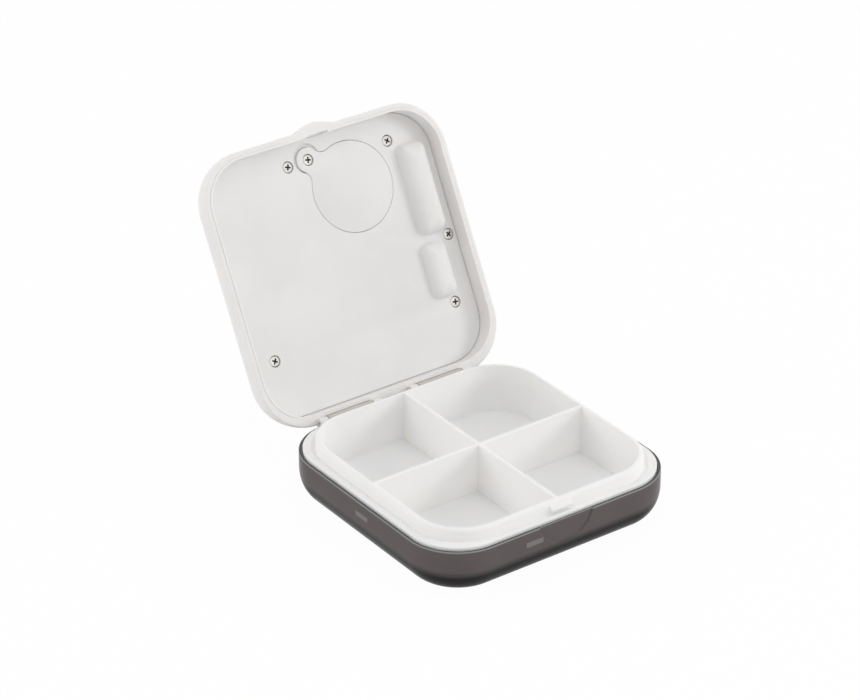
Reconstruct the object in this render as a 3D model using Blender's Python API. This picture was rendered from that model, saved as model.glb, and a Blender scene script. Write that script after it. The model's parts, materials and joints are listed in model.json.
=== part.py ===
"""Electronic pill box: a shallow box with four compartments under a hinged lid.

The lid holds a coin cell, a circuit board with a display and three buttons, a buzzer and a
vibration motor.  Metres, X to the right, Y to the back where the hinge is, Z up.  The origin is on
the surface that the box rests on, under the middle of the base.

The lid's pieces are drawn where they lie with the lid closed, then hung from an empty on the
hinge's axis, which is turned to the open position.  Distances named from_hinge run from the
hinge's axis towards the lid's front edge.  Depths in the lid run from its rim plane outwards.
"""
import math

import bmesh
import bpy
from mathutils import Vector

# General clearances and fineness
SEAT_GAP = 0.0003
BOARD_GAP = 0.0001
OVERRUN = 0.0004
CORNER_STEPS = 8
ROUND_STEPS = 16
FILLET_STEPS = 5
EDGE_STEPS = 3
SHARP_EDGE_DEGREES = 30.0

# The whole box: the base and the lid have the same width and length
BOX_WIDTH = 0.0760
BOX_LENGTH = 0.0746

# Base shell
BASE_CORNER_RADIUS = 0.0148
BASE_HEIGHT = 0.0131
BASE_BOTTOM_ROUNDING_WIDTH = 0.0056
BASE_BOTTOM_ROUNDING_HEIGHT = 0.0080
BASE_RIM_WIDTH = 0.0008
BASE_RIM_ROUNDING = 0.0002
BASE_WALL = 0.0022
BASE_FLOOR = 0.0017
BASE_INNER_ROUNDING_WIDTH = 0.0032
BASE_INNER_ROUNDING_HEIGHT = 0.0040
TRAY_SEAT_DEPTH = 0.0016
THUMB_SCOOP_RADIUS = 0.0087
THUMB_SCOOP_BOTTOM = 0.0061
THUMB_SCOOP_DEPTH = 0.0004
CLIP_POCKET_WIDTH = 0.0053
CLIP_POCKET_HEIGHT = 0.0015
CLIP_POCKET_BOTTOM = 0.0086
CLIP_SKIN = 0.0006
FRONT_CLIP_OFFSET = 0.0099
SIDE_CLIP_OFFSET = 0.0013

# Pill tray
TRAY_FIT = 0.00025
TRAY_SIDE_SHOULDER = 0.0050
TRAY_END_SHOULDER = 0.0045
TRAY_WELL_TAPER = 0.0003
TRAY_WELL_CORNER_RADIUS = 0.0125
TRAY_WALL = 0.0014
TRAY_FLOOR = 0.0013
TRAY_BOTTOM_ROUNDING = 0.0020
TRAY_LIP_RISE = 0.0008
TRAY_LIP_ROUNDING = 0.0004
TRAY_GROOVE_WIDTH = 0.0007
TRAY_GROOVE_DEPTH = 0.0005
TRAY_WALL_PANEL_GAP = 0.00205
TRAY_WALL_OUTER_ROUNDING = 0.0010
TRAY_WALL_INNER_ROUNDING = 0.0002
DIVIDER_THICKNESS = 0.0011
DIVIDER_DROP = 0.0001
LATCH_NUB_WIDTH = 0.0064
LATCH_NUB_REACH = 0.0013
LATCH_NUB_LIFT = 0.0007
LATCH_NUB_HEIGHT = 0.0015
LATCH_NUB_BEVEL = 0.0004

# Hinge
HINGE_AXIS_BEHIND_BASE = 0.00005
HINGE_AXIS_ABOVE_BASE = 0.0002
LID_OPEN_DEGREES = 118.0
BARREL_RADIUS = 0.00165
BARREL_ARM_REACH = 0.0026
BARREL_ARM_TOP = 0.00045
BARREL_TURNING_GAP = 0.0003
HINGE_FROM_MIDDLE = 0.004835
HINGE_FROM_SIDE = 0.013735
LUG_WIDTH = 0.0024
PIN_RADIUS = 0.00075
PIN_RUNNING_GAP = 0.00006
PIN_END_INSET = 0.0001
HINGE_NOTCH_END_GAP = 0.0010
STOP_LEDGE_WIDTH = 0.0080
STOP_LEDGE_REACH = 0.0020
STOP_LEDGE_DROP = 0.0034

# Lid cover
LID_CORNER_RADIUS = 0.0138
LID_DEPTH = 0.0124
LID_SIDE_DEPTH = 0.00165
LID_WALL = 0.0012
LID_RIM_GAP = 0.0003
LID_RIM_WIDTH = 0.0020
LID_REAR_THICKENING = 0.00085
LID_RIM_ROUNDING = 0.0002
LID_LIP_WIDTH = 0.0006
LID_LIP_RISE = 0.00015
LID_LIP_REAR_END = 0.0040
THUMB_TAB_WIDTH = 0.0186
THUMB_TAB_REACH = 0.0016
THUMB_TAB_DEPTH = 0.0050
LATCH_SLOT_GAP = 0.0003
LATCH_POCKET_DEPTH = 0.0035

# Lid inner panel
PANEL_FROM_TOP = 0.0075
PANEL_THICKNESS = 0.0010
PANEL_GAP = 0.0002
PANEL_SEAT_BOSS_HEIGHT = 0.0005
DOME_WALL = 0.0010
DOME_CORNER_RADIUS = 0.0027
DOME_CREST_DEGREES = 80.0
MOTOR_DOME_FROM_SIDE = 0.0091
MOTOR_DOME_FROM_FRONT = 0.0113
MOTOR_DOME_WIDTH = 0.0090
MOTOR_DOME_HEIGHT = 0.0035
DOMES_APART = 0.0022
BUZZER_DOME_FROM_SIDE = 0.0109
BUZZER_DOME_FROM_SCREW = 0.0021
BUZZER_DOME_WIDTH = 0.0080
BUZZER_DOME_LENGTH = 0.0153
BUZZER_DOME_HEIGHT = 0.0030

# Screws
DOOR_SIDE_SCREW_FROM_BATTERY = 0.01737
DOOR_SIDE_SCREW_FROM_FRONT = 0.0080
FRONT_RIGHT_SCREW_FROM_SIDE = 0.0147
FRONT_RIGHT_SCREW_FROM_FRONT = 0.0092
MIDDLE_SCREW_FROM_SIDE = 0.0044
MIDDLE_SCREW_FROM_DOME = 0.0016
REAR_RIGHT_SCREW_FROM_SIDE = 0.00825
REAR_RIGHT_SCREW_FROM_HINGE = 0.0184
REAR_LEFT_SCREW_FROM_SIDE = 0.0095
REAR_LEFT_SCREW_FROM_HINGE = 0.0191
SCREW_HEAD_RADIUS = 0.0014
SCREW_HEAD_HEIGHT = 0.0008
SCREW_HEAD_SINK = 0.0001
SCREW_HEAD_SIDE_GAP = 0.0002
SCREW_HEAD_ROUNDING = 0.00025
SCREW_SHANK_RADIUS = 0.0008
SCREW_SHANK_LENGTH = 0.0028
SCREW_SHANK_GAP = 0.0002
SCREW_THREAD_GAP = 0.00008
SCREW_CROSS_LENGTH = 0.0017
SCREW_CROSS_WIDTH = 0.0004
SCREW_CROSS_DEPTH = 0.0004
SCREW_BOSS_WALL = 0.0012
SCREW_TIP_GAP = 0.0002

# Battery door and coin cell
DOOR_FROM_DOME = 0.0030
DOOR_FROM_FRONT = 0.00565
DOOR_RADIUS = 0.01233
DOOR_EAR_RADIUS = 0.0034
DOOR_EAR_FILLET = 0.0030
DOOR_SCREW_ACROSS = 0.01087
DOOR_SCREW_AHEAD = 0.01028
DOOR_GAP = 0.0002
DOOR_WELL_WALL = 0.0006
DOOR_LEDGE_THICKNESS = 0.0010
PRY_NOTCH_RADIUS = 0.0041
PRY_NOTCH_SHIFT_X = -0.0004
PRY_NOTCH_SHIFT_FROM_HINGE = 0.0005
PRY_NOTCH_DEPTH = 0.0007
CELL_RADIUS = 0.0100
CELL_THICKNESS = 0.0032
CELL_BEVEL = 0.0003
CELL_SIDE_GAP = 0.00035
CELL_RING_WALL = 0.00115
CONTACT_THICKNESS = 0.0003
CONTACT_WIDTH = 0.0050
NEGATIVE_CONTACT_LENGTH = 0.0160
NEGATIVE_CONTACT_BUMP_RADIUS = 0.0020
POSITIVE_CONTACT_FOOT = 0.0016

# Board, display and buttons
BOARD_FROM_DOME = 0.0006
BOARD_FROM_DOOR = 0.00169
BOARD_FROM_HINGE = 0.0090
BOARD_THICKNESS = 0.0008
BOARD_CORNER_RADIUS = 0.0010
CHIP_SIZE = 0.0070
CHIP_THICKNESS = 0.0006
CHIP_X = -0.0060
CHIP_FROM_BOARD_FRONT = 0.0156
CRYSTAL_WIDTH = 0.0022
CRYSTAL_LENGTH = 0.0060
CRYSTAL_X = 0.0060
DISPLAY_REAR_FROM_HINGE = 0.0135
DISPLAY_FROM_BUTTONS = 0.0073
DISPLAY_WIDTH = 0.0360
DISPLAY_THICKNESS = 0.0015
DISPLAY_OPENING_MARGIN = 0.0010
CONNECTOR_STRIP_END_INSET = 0.0030
CONNECTOR_STRIP_LENGTH = 0.0018
WINDOW_RIM = 0.0025
WINDOW_THICKNESS = 0.0006
WINDOW_CORNER_RADIUS = 0.0020
WINDOW_SIDE_GAP = 0.00015
BUTTON_SPACING = 0.0140
BUTTON_FROM_BOARD_FRONT = 0.0028
BUTTON_RADIUS = 0.0032
BUTTON_SIDE_GAP = 0.0003
BUTTON_RISE = 0.0005
BUTTON_ROUNDING = 0.0003
BUTTON_FLANGE_RADIUS = 0.0040
BUTTON_FLANGE_THICKNESS = 0.0006
BUTTON_STEM_RADIUS = 0.0012
BUTTON_STEM_LENGTH = 0.0003
BUTTON_FREE_TRAVEL = 0.0005
SWITCH_SIZE = 0.0048
SWITCH_PLUNGER_RADIUS = 0.0010
SWITCH_PLUNGER_LENGTH = 0.0003

# Vibration motor, buzzer and their leads
MOTOR_RADIUS = 0.0025
MOTOR_END_ROOM = 0.00365
MOTOR_NECK_RADIUS = 0.0015
MOTOR_NECK_LENGTH = 0.0010
BUZZER_WIDTH = 0.0044
BUZZER_LENGTH = 0.0100
BUZZER_THICKNESS = 0.0040
BUZZER_TOP_DROP = 0.0009
BUZZER_HOLE_RADIUS = 0.0008
BUZZER_HOLE_DEPTH = 0.0010
LEAD_WIDTH = 0.0012
LEAD_THICKNESS = 0.0003
LEAD_BOARD_OVERLAP = 0.0030
LEAD_STEP_RUN = 0.0010

# Places and sizes that follow from the sizes above
TRAY_WELL_WIDTH = BOX_WIDTH - 2 * TRAY_SIDE_SHOULDER
TRAY_WELL_LENGTH = BOX_LENGTH - 2 * TRAY_END_SHOULDER
HINGE_SLOT_LENGTH = BOX_WIDTH / 2 - HINGE_FROM_SIDE - HINGE_FROM_MIDDLE - 2 * LUG_WIDTH
HINGE_SLOT_OFFSET = HINGE_FROM_MIDDLE + LUG_WIDTH + HINGE_SLOT_LENGTH / 2
BARREL_LENGTH = HINGE_SLOT_LENGTH - 2 * BARREL_TURNING_GAP
HINGE_Y = BOX_LENGTH / 2 + HINGE_AXIS_BEHIND_BASE
HINGE_Z = BASE_HEIGHT + HINGE_AXIS_ABOVE_BASE
TRAY_LIP_Z = BASE_HEIGHT + TRAY_LIP_RISE
TRAY_BOTTOM_Z = BASE_FLOOR + SEAT_GAP
TRAY_FLOOR_Z = TRAY_BOTTOM_Z + TRAY_FLOOR
TRAY_SEAT_Z = BASE_HEIGHT - TRAY_SEAT_DEPTH
LID_RIM_Z = TRAY_LIP_Z + LID_RIM_GAP
LID_FILLET = LID_DEPTH - LID_SIDE_DEPTH
PANEL_DEPTH = LID_DEPTH - PANEL_FROM_TOP
TRAY_WALL_TOP_Z = LID_RIM_Z + PANEL_DEPTH - TRAY_WALL_PANEL_GAP
LID_CENTRE_FROM_HINGE = BOX_LENGTH / 2
BUZZER_DOME_X = BOX_WIDTH / 2 - BUZZER_DOME_FROM_SIDE
BUZZER_DOME_REAR_FROM_HINGE = REAR_RIGHT_SCREW_FROM_HINGE + BUZZER_DOME_FROM_SCREW
BUZZER_DOME_FROM_HINGE = BUZZER_DOME_REAR_FROM_HINGE + BUZZER_DOME_LENGTH / 2
MOTOR_DOME_X = BOX_WIDTH / 2 - MOTOR_DOME_FROM_SIDE
MOTOR_DOME_REAR_FROM_HINGE = BUZZER_DOME_REAR_FROM_HINGE + BUZZER_DOME_LENGTH + DOMES_APART
MOTOR_DOME_LENGTH = BOX_LENGTH - MOTOR_DOME_FROM_FRONT - MOTOR_DOME_REAR_FROM_HINGE
MOTOR_DOME_FROM_HINGE = MOTOR_DOME_REAR_FROM_HINGE + MOTOR_DOME_LENGTH / 2
MOTOR_LENGTH = MOTOR_DOME_LENGTH - 2 * MOTOR_END_ROOM
BATTERY_X = MOTOR_DOME_X - MOTOR_DOME_WIDTH / 2 - DOOR_FROM_DOME - DOOR_RADIUS
BATTERY_FROM_HINGE = BOX_LENGTH - DOOR_FROM_FRONT - DOOR_RADIUS
DOOR_SCREW_X = BATTERY_X - DOOR_SCREW_ACROSS
DOOR_SCREW_FROM_HINGE = BATTERY_FROM_HINGE + DOOR_SCREW_AHEAD
PANEL_SCREW_PLACES = (
    (BATTERY_X - DOOR_SIDE_SCREW_FROM_BATTERY, BOX_LENGTH - DOOR_SIDE_SCREW_FROM_FRONT),
    (BOX_WIDTH / 2 - FRONT_RIGHT_SCREW_FROM_SIDE, BOX_LENGTH - FRONT_RIGHT_SCREW_FROM_FRONT),
    (BOX_WIDTH / 2 - MIDDLE_SCREW_FROM_SIDE, MOTOR_DOME_REAR_FROM_HINGE - MIDDLE_SCREW_FROM_DOME),
    (BOX_WIDTH / 2 - REAR_RIGHT_SCREW_FROM_SIDE, REAR_RIGHT_SCREW_FROM_HINGE),
    (REAR_LEFT_SCREW_FROM_SIDE - BOX_WIDTH / 2, REAR_LEFT_SCREW_FROM_HINGE),
)
BOARD_WIDTH = 2 * (BUZZER_DOME_X - BUZZER_DOME_WIDTH / 2 - BOARD_FROM_DOME)
BOARD_FRONT_FROM_HINGE = BATTERY_FROM_HINGE - DOOR_RADIUS - BOARD_FROM_DOOR
BOARD_LENGTH = BOARD_FRONT_FROM_HINGE - BOARD_FROM_HINGE
CHIP_FROM_HINGE = BOARD_FRONT_FROM_HINGE - CHIP_FROM_BOARD_FRONT
BUTTON_FROM_HINGE = BOARD_FRONT_FROM_HINGE - BUTTON_FROM_BOARD_FRONT
DISPLAY_LENGTH = BUTTON_FROM_HINGE - DISPLAY_FROM_BUTTONS - DISPLAY_REAR_FROM_HINGE
DISPLAY_FROM_HINGE = DISPLAY_REAR_FROM_HINGE + DISPLAY_LENGTH / 2
CONNECTOR_STRIP_WIDTH = DISPLAY_WIDTH - 2 * CONNECTOR_STRIP_END_INSET
CEILING_DEPTH = LID_DEPTH - LID_WALL
PANEL_BACK_DEPTH = PANEL_DEPTH + PANEL_THICKNESS
SCREW_HEAD_BASE_DEPTH = PANEL_DEPTH + SCREW_HEAD_SINK + SCREW_HEAD_HEIGHT
SCREW_SEAT_DEPTH = SCREW_HEAD_BASE_DEPTH + BOARD_GAP
SCREW_TIP_DEPTH = SCREW_HEAD_BASE_DEPTH + SCREW_SHANK_LENGTH
SEAT_BOSS_END_DEPTH = PANEL_BACK_DEPTH + PANEL_SEAT_BOSS_HEIGHT
COVER_BOSS_START_DEPTH = SEAT_BOSS_END_DEPTH + SEAT_GAP
DOOR_LEDGE_START_DEPTH = PANEL_BACK_DEPTH + SEAT_GAP
DOOR_LEDGE_END_DEPTH = DOOR_LEDGE_START_DEPTH + DOOR_LEDGE_THICKNESS
CELL_START_DEPTH = PANEL_BACK_DEPTH + SEAT_GAP
CELL_END_DEPTH = CELL_START_DEPTH + CELL_THICKNESS
CHIP_START_DEPTH = PANEL_BACK_DEPTH + SEAT_GAP
BOARD_START_DEPTH = CHIP_START_DEPTH + CHIP_THICKNESS + SEAT_GAP
BOARD_END_DEPTH = BOARD_START_DEPTH + BOARD_THICKNESS
DISPLAY_END_DEPTH = CEILING_DEPTH - SEAT_GAP
DISPLAY_START_DEPTH = DISPLAY_END_DEPTH - DISPLAY_THICKNESS
BUTTON_FLANGE_END_DEPTH = CEILING_DEPTH - SEAT_GAP
BUTTON_FLANGE_START_DEPTH = BUTTON_FLANGE_END_DEPTH - BUTTON_FLANGE_THICKNESS
BUTTON_STEM_START_DEPTH = BUTTON_FLANGE_START_DEPTH - BUTTON_STEM_LENGTH
SWITCH_PLUNGER_END_DEPTH = BUTTON_STEM_START_DEPTH - BUTTON_FREE_TRAVEL
LEAD_START_DEPTH = PANEL_BACK_DEPTH + SEAT_GAP


# Outlines: lists of points, anticlockwise

def arc(centre, radius, start, end, steps):
    """Points on an arc from one angle to another, in radians, both ends included."""
    return [
        (
            centre[0] + radius * math.cos(start + (end - start) * step / steps),
            centre[1] + radius * math.sin(start + (end - start) * step / steps),
        )
        for step in range(steps + 1)
    ]


def circle(centre, radius, steps=ROUND_STEPS):
    """Points of a full circle."""
    return arc(centre, radius, 0.0, 2 * math.pi, steps)[:-1]


def rounded_rectangle(centre, half_x, half_y, radius, steps=CORNER_STEPS):
    """A rectangle with round corners; the radius is limited by the rectangle itself."""
    least = min(half_x, half_y)
    radius = min(max(radius, OVERRUN), least)
    points = []
    for quarter, (side_x, side_y) in enumerate(((1, 1), (-1, 1), (-1, -1), (1, -1))):
        corner = (centre[0] + side_x * (half_x - radius), centre[1] + side_y * (half_y - radius))
        start = quarter * math.pi / 2
        points += arc(corner, radius, start, start + math.pi / 2, steps)
    return points


def rectangle(low_x, high_x, low_y, high_y):
    """A plain rectangle between two corners."""
    return [(low_x, low_y), (high_x, low_y), (high_x, high_y), (low_x, high_y)]


def anticlockwise(outline):
    """The outline, turned round where it runs clockwise."""
    area = 0.0
    for (x_one, y_one), (x_two, y_two) in zip(outline, outline[1:] + outline[:1]):
        area += x_one * y_two - x_two * y_one
    return outline if area > 0 else outline[::-1]


def from_hinge(distance):
    """Y of a point at this distance from the hinge's axis, with the lid closed."""
    return HINGE_Y - distance


def lid_point(place):
    """X and Y, with the lid closed, of a place given across the lid and from the hinge."""
    return place[0], from_hinge(place[1])


def at_depth(depth):
    """Z, with the lid closed, of a depth measured from the lid's rim plane."""
    return LID_RIM_Z + depth


# Solids

def make_object(name, shape):
    """A mesh object from a finished bmesh, with its round faces shaded smooth."""
    bmesh.ops.remove_doubles(shape, verts=shape.verts, dist=BOARD_GAP / CORNER_STEPS)
    mesh = bpy.data.meshes.new(name)
    shape.to_mesh(mesh)
    shape.free()
    mesh.shade_smooth()
    mesh.set_sharp_from_angle(angle=math.radians(SHARP_EDGE_DEGREES))
    piece = bpy.data.objects.new(name, mesh)
    bpy.context.scene.collection.objects.link(piece)
    return piece


def loft(name, rings):
    """A closed solid through rings of equally many points, each an outline and its height."""
    shape = bmesh.new()
    layers = [[shape.verts.new((x, y, z)) for x, y in outline] for outline, z in rings]
    for lower, upper in zip(layers, layers[1:]):
        for index in range(len(lower)):
            following = (index + 1) % len(lower)
            shape.faces.new((lower[index], lower[following], upper[following], upper[index]))
    shape.faces.new(layers[0][::-1])
    shape.faces.new(layers[-1])
    return make_object(name, shape)


def prism(name, outline, low_z, high_z):
    """An outline pulled straight up between two heights."""
    outline = anticlockwise(outline)
    return loft(name, [(outline, low_z), (outline, high_z)])


def box(name, low, high):
    """A block between two corners."""
    return prism(name, rectangle(low[0], high[0], low[1], high[1]), low[2], high[2])


def turned(name, centre, profile, steps=ROUND_STEPS):
    """A solid turned about a vertical line, from radii and heights that run upwards."""
    return loft(name, [(circle(centre, radius, steps), z) for radius, z in profile])


def along_x(name, profile, low_x, high_x):
    """An outline in Y and Z pulled from one X to another."""
    profile = anticlockwise(profile)
    shape = bmesh.new()
    near = [shape.verts.new((low_x, y, z)) for y, z in profile]
    far = [shape.verts.new((high_x, y, z)) for y, z in profile]
    for index in range(len(profile)):
        following = (index + 1) % len(profile)
        shape.faces.new((near[index], near[following], far[following], far[index]))
    shape.faces.new(near[::-1])
    shape.faces.new(far)
    return make_object(name, shape)


def along_y(name, profile, low_y, high_y):
    """An outline in X and Z pulled from one Y to another."""
    profile = anticlockwise(profile)
    shape = bmesh.new()
    near = [shape.verts.new((x, low_y, z)) for x, z in profile]
    far = [shape.verts.new((x, high_y, z)) for x, z in profile]
    for index in range(len(profile)):
        following = (index + 1) % len(profile)
        shape.faces.new((near[following], near[index], far[index], far[following]))
    shape.faces.new(near)
    shape.faces.new(far[::-1])
    return make_object(name, shape)


def combine(piece, operation, tools):
    """Join tools to a piece, or cut them from it, with Boolean modifiers."""
    for tool in tools:
        tool.hide_render = True
        tool.display_type = "WIRE"
        step = piece.modifiers.new(tool.name, "BOOLEAN")
        step.operation = operation
        step.object = tool
    return piece


def join(piece, *tools):
    """Union of a piece and tools that reach into it."""
    return combine(piece, "UNION", tools)


def cut(piece, *tools):
    """A piece less its cutters."""
    return combine(piece, "DIFFERENCE", tools)


def paint(piece, material):
    """Give a piece its material."""
    piece.data.materials.append(material)
    return piece


# Materials

def material(name, colour, roughness, metallic=0.0, alpha=1.0):
    """A Principled material of one colour."""
    finish = bpy.data.materials.new(name)
    finish.use_nodes = True
    shader = finish.node_tree.nodes["Principled BSDF"]
    shader.inputs["Base Color"].default_value = (*colour, 1.0)
    shader.inputs["Roughness"].default_value = roughness
    shader.inputs["Metallic"].default_value = metallic
    shader.inputs["Alpha"].default_value = alpha
    return finish


def white_plastic():
    return material("white_plastic", (0.80, 0.80, 0.78), 0.45)


def smoked_plastic():
    return material("smoked_plastic", (0.10, 0.09, 0.09), 0.30, alpha=0.9)


def nickel_steel():
    return material("nickel_steel", (0.62, 0.60, 0.56), 0.30, metallic=1.0)


def board_green():
    return material("board_green", (0.02, 0.16, 0.07), 0.45)


def black_plastic():
    return material("black_plastic", (0.02, 0.02, 0.02), 0.5)


def display_glass():
    return material("display_glass", (0.32, 0.36, 0.30), 0.15)


def clear_plastic():
    return material("clear_plastic", (0.75, 0.78, 0.78), 0.1, alpha=0.4)


def grey_plastic():
    return material("grey_plastic", (0.45, 0.46, 0.47), 0.5)


def connector_rubber():
    return material("connector_rubber", (0.10, 0.10, 0.11), 0.8)


# Base shell

def base_outline(inset):
    """The base's plan, drawn in by this much."""
    return rounded_rectangle(
        (0.0, 0.0), BOX_WIDTH / 2 - inset, BOX_LENGTH / 2 - inset, BASE_CORNER_RADIUS - inset
    )


def base_shell_rings():
    """Outside from the bottom up, over the rim, and down the inside to the floor."""
    rings = []
    for step in range(FILLET_STEPS + 1):
        turn = math.pi / 2 * step / FILLET_STEPS
        inset = BASE_BOTTOM_ROUNDING_WIDTH * (1 - math.sin(turn))
        rings.append((base_outline(inset), BASE_BOTTOM_ROUNDING_HEIGHT * (1 - math.cos(turn))))
    rings.append((base_outline(0.0), BASE_HEIGHT - BASE_RIM_ROUNDING))
    rings.append((base_outline(BASE_RIM_ROUNDING), BASE_HEIGHT))
    rings.append((base_outline(BASE_RIM_WIDTH - BASE_RIM_ROUNDING), BASE_HEIGHT))
    rings.append((base_outline(BASE_RIM_WIDTH), BASE_HEIGHT - BASE_RIM_ROUNDING))
    rings.append((base_outline(BASE_RIM_WIDTH), TRAY_SEAT_Z))
    rings.append((base_outline(BASE_WALL), TRAY_SEAT_Z))
    for step in range(FILLET_STEPS + 1):
        turn = math.pi / 2 * (1 - step / FILLET_STEPS)
        inset = BASE_WALL + BASE_INNER_ROUNDING_WIDTH * (1 - math.sin(turn))
        z = BASE_FLOOR + BASE_INNER_ROUNDING_HEIGHT * (1 - math.cos(turn))
        rings.append((base_outline(inset), z))
    return rings


def clip_places():
    """The four clips: the middle of each on the wall's outside, and the way it faces."""
    half_x = BOX_WIDTH / 2
    half_y = BOX_LENGTH / 2
    return (
        ((-FRONT_CLIP_OFFSET, -half_y), (0, -1)),
        ((FRONT_CLIP_OFFSET, half_y), (0, 1)),
        ((-half_x, -SIDE_CLIP_OFFSET), (-1, 0)),
        ((half_x, -SIDE_CLIP_OFFSET), (1, 0)),
    )


def block_at_clip(name, place, facing, width, inward, outward, low_z, high_z):
    """A block at a clip, reaching inward and outward from the shell's outside."""
    x_reach = sorted((place[0] - facing[0] * inward, place[0] + facing[0] * outward))
    y_reach = sorted((place[1] - facing[1] * inward, place[1] + facing[1] * outward))
    if facing[0] == 0:
        x_reach = (place[0] - width / 2, place[0] + width / 2)
    else:
        y_reach = (place[1] - width / 2, place[1] + width / 2)
    return box(name, (x_reach[0], y_reach[0], low_z), (x_reach[1], y_reach[1], high_z))


def clip_pockets():
    """Cutters for the pockets inside the wall that the tray's hooks snap into."""
    return [
        block_at_clip(
            f"clip_pocket_cutter_{number}", place, facing, CLIP_POCKET_WIDTH,
            BASE_WALL + OVERRUN, -CLIP_SKIN, CLIP_POCKET_BOTTOM, CLIP_POCKET_BOTTOM + CLIP_POCKET_HEIGHT,
        )
        for number, (place, facing) in enumerate(clip_places(), 1)
    ]


def thumb_scoop():
    """Cutter for the shallow round recess under the lid's thumb tab."""
    front = -BOX_LENGTH / 2
    profile = circle((0.0, THUMB_SCOOP_BOTTOM + THUMB_SCOOP_RADIUS), THUMB_SCOOP_RADIUS, 2 * ROUND_STEPS)
    return along_y("thumb_scoop_cutter", profile, front - OVERRUN, front + THUMB_SCOOP_DEPTH)


def hinge_sides():
    """The two hinges: the name of each and the middle of its slot."""
    return (("left", -HINGE_SLOT_OFFSET), ("right", HINGE_SLOT_OFFSET))


def lug_spans(slot_middle):
    """Where the lid's two lugs lie along X, one at each end of a hinge slot."""
    left = slot_middle - HINGE_SLOT_LENGTH / 2
    right = slot_middle + HINGE_SLOT_LENGTH / 2
    return ((left - LUG_WIDTH, left), (right, right + LUG_WIDTH))


def hinge_notches():
    """Cutters that open the shell's rear rim for the barrels and lugs."""
    reach = HINGE_SLOT_LENGTH / 2 + LUG_WIDTH + HINGE_NOTCH_END_GAP
    front = BOX_LENGTH / 2 - BASE_WALL - OVERRUN
    bottom = HINGE_Z - BARREL_RADIUS - BARREL_TURNING_GAP
    return [
        box(
            f"hinge_notch_cutter_{side}", (middle - reach, front, bottom),
            (middle + reach, BOX_LENGTH / 2 + OVERRUN, BASE_HEIGHT + OVERRUN),
        )
        for side, middle in hinge_sides()
    ]


def stop_ledge():
    """The ledge at the back that the open lid's rear wall comes to rest on."""
    lean = math.radians(LID_OPEN_DEGREES)
    wall = BOX_LENGTH / 2
    gap_y = HINGE_Y + SEAT_GAP * math.cos(lean)
    gap_z = HINGE_Z - SEAT_GAP * math.sin(lean)
    fall = math.cos(lean) / math.sin(lean)
    tip_y = wall + STOP_LEDGE_REACH
    top_at_wall = gap_z + (wall - gap_y) * fall
    top_at_tip = gap_z + (tip_y - gap_y) * fall
    inside = wall - BASE_RIM_WIDTH / 2
    profile = [
        (inside, top_at_wall),
        (wall, top_at_wall),
        (tip_y, top_at_tip),
        (wall, top_at_wall - STOP_LEDGE_DROP),
        (inside, top_at_wall - STOP_LEDGE_DROP),
    ]
    return along_x("stop_ledge_shape", profile, -STOP_LEDGE_WIDTH / 2, STOP_LEDGE_WIDTH / 2)


def make_base_shell(finish):
    shell = paint(loft("base_shell", base_shell_rings()), finish)
    join(shell, stop_ledge())
    cut(shell, thumb_scoop(), *clip_pockets(), *hinge_notches())
    return shell


# Pill tray

def tray_outline(outset):
    """The plan of the tray's well at its top, let out by this much."""
    return rounded_rectangle(
        (0.0, 0.0), TRAY_WELL_WIDTH / 2 + outset, TRAY_WELL_LENGTH / 2 + outset,
        TRAY_WELL_CORNER_RADIUS + outset,
    )


def tray_rings():
    """Outside from the bottom up, over the flange and the wall, and down into the well."""
    flange_bottom = TRAY_SEAT_Z + SEAT_GAP
    flange_inset = BASE_RIM_WIDTH + TRAY_FIT
    rings = []
    for step in range(FILLET_STEPS + 1):
        turn = math.pi / 2 * step / FILLET_STEPS
        outset = TRAY_WALL - TRAY_BOTTOM_ROUNDING * (1 - math.sin(turn))
        rings.append((tray_outline(outset), TRAY_BOTTOM_Z + TRAY_BOTTOM_ROUNDING * (1 - math.cos(turn))))
    rings += [
        (tray_outline(TRAY_WALL), flange_bottom),
        (base_outline(flange_inset), flange_bottom),
        (base_outline(flange_inset), TRAY_LIP_Z - TRAY_LIP_ROUNDING),
        (base_outline(flange_inset + TRAY_LIP_ROUNDING), TRAY_LIP_Z),
        (tray_outline(TRAY_WALL + TRAY_GROOVE_WIDTH + TRAY_GROOVE_DEPTH), TRAY_LIP_Z),
        (tray_outline(TRAY_WALL + TRAY_GROOVE_WIDTH), TRAY_LIP_Z - TRAY_GROOVE_DEPTH),
        (tray_outline(TRAY_WALL), TRAY_LIP_Z - TRAY_GROOVE_DEPTH),
    ]
    for step in range(EDGE_STEPS + 1):
        turn = math.pi / 2 * step / EDGE_STEPS
        outset = TRAY_WALL - TRAY_WALL_OUTER_ROUNDING * (1 - math.cos(turn))
        rings.append((tray_outline(outset), TRAY_WALL_TOP_Z - TRAY_WALL_OUTER_ROUNDING * (1 - math.sin(turn))))
    rings += [
        (tray_outline(TRAY_WALL_INNER_ROUNDING), TRAY_WALL_TOP_Z),
        (tray_outline(0.0), TRAY_WALL_TOP_Z - TRAY_WALL_INNER_ROUNDING),
        (tray_outline(-TRAY_WELL_TAPER), TRAY_FLOOR_Z),
    ]
    return rings


def dividers():
    """The two crossing walls that make four compartments."""
    half = DIVIDER_THICKNESS / 2
    reach_x = (TRAY_WELL_WIDTH + TRAY_WALL) / 2
    reach_y = (TRAY_WELL_LENGTH + TRAY_WALL) / 2
    bottom = TRAY_FLOOR_Z - TRAY_FLOOR / 2
    top = TRAY_WALL_TOP_Z - DIVIDER_DROP
    return (
        box("divider_across_shape", (-reach_x, -half, bottom), (reach_x, half, top)),
        box("divider_along_shape", (-half, -reach_y, bottom), (half, reach_y, top)),
    )


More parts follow.
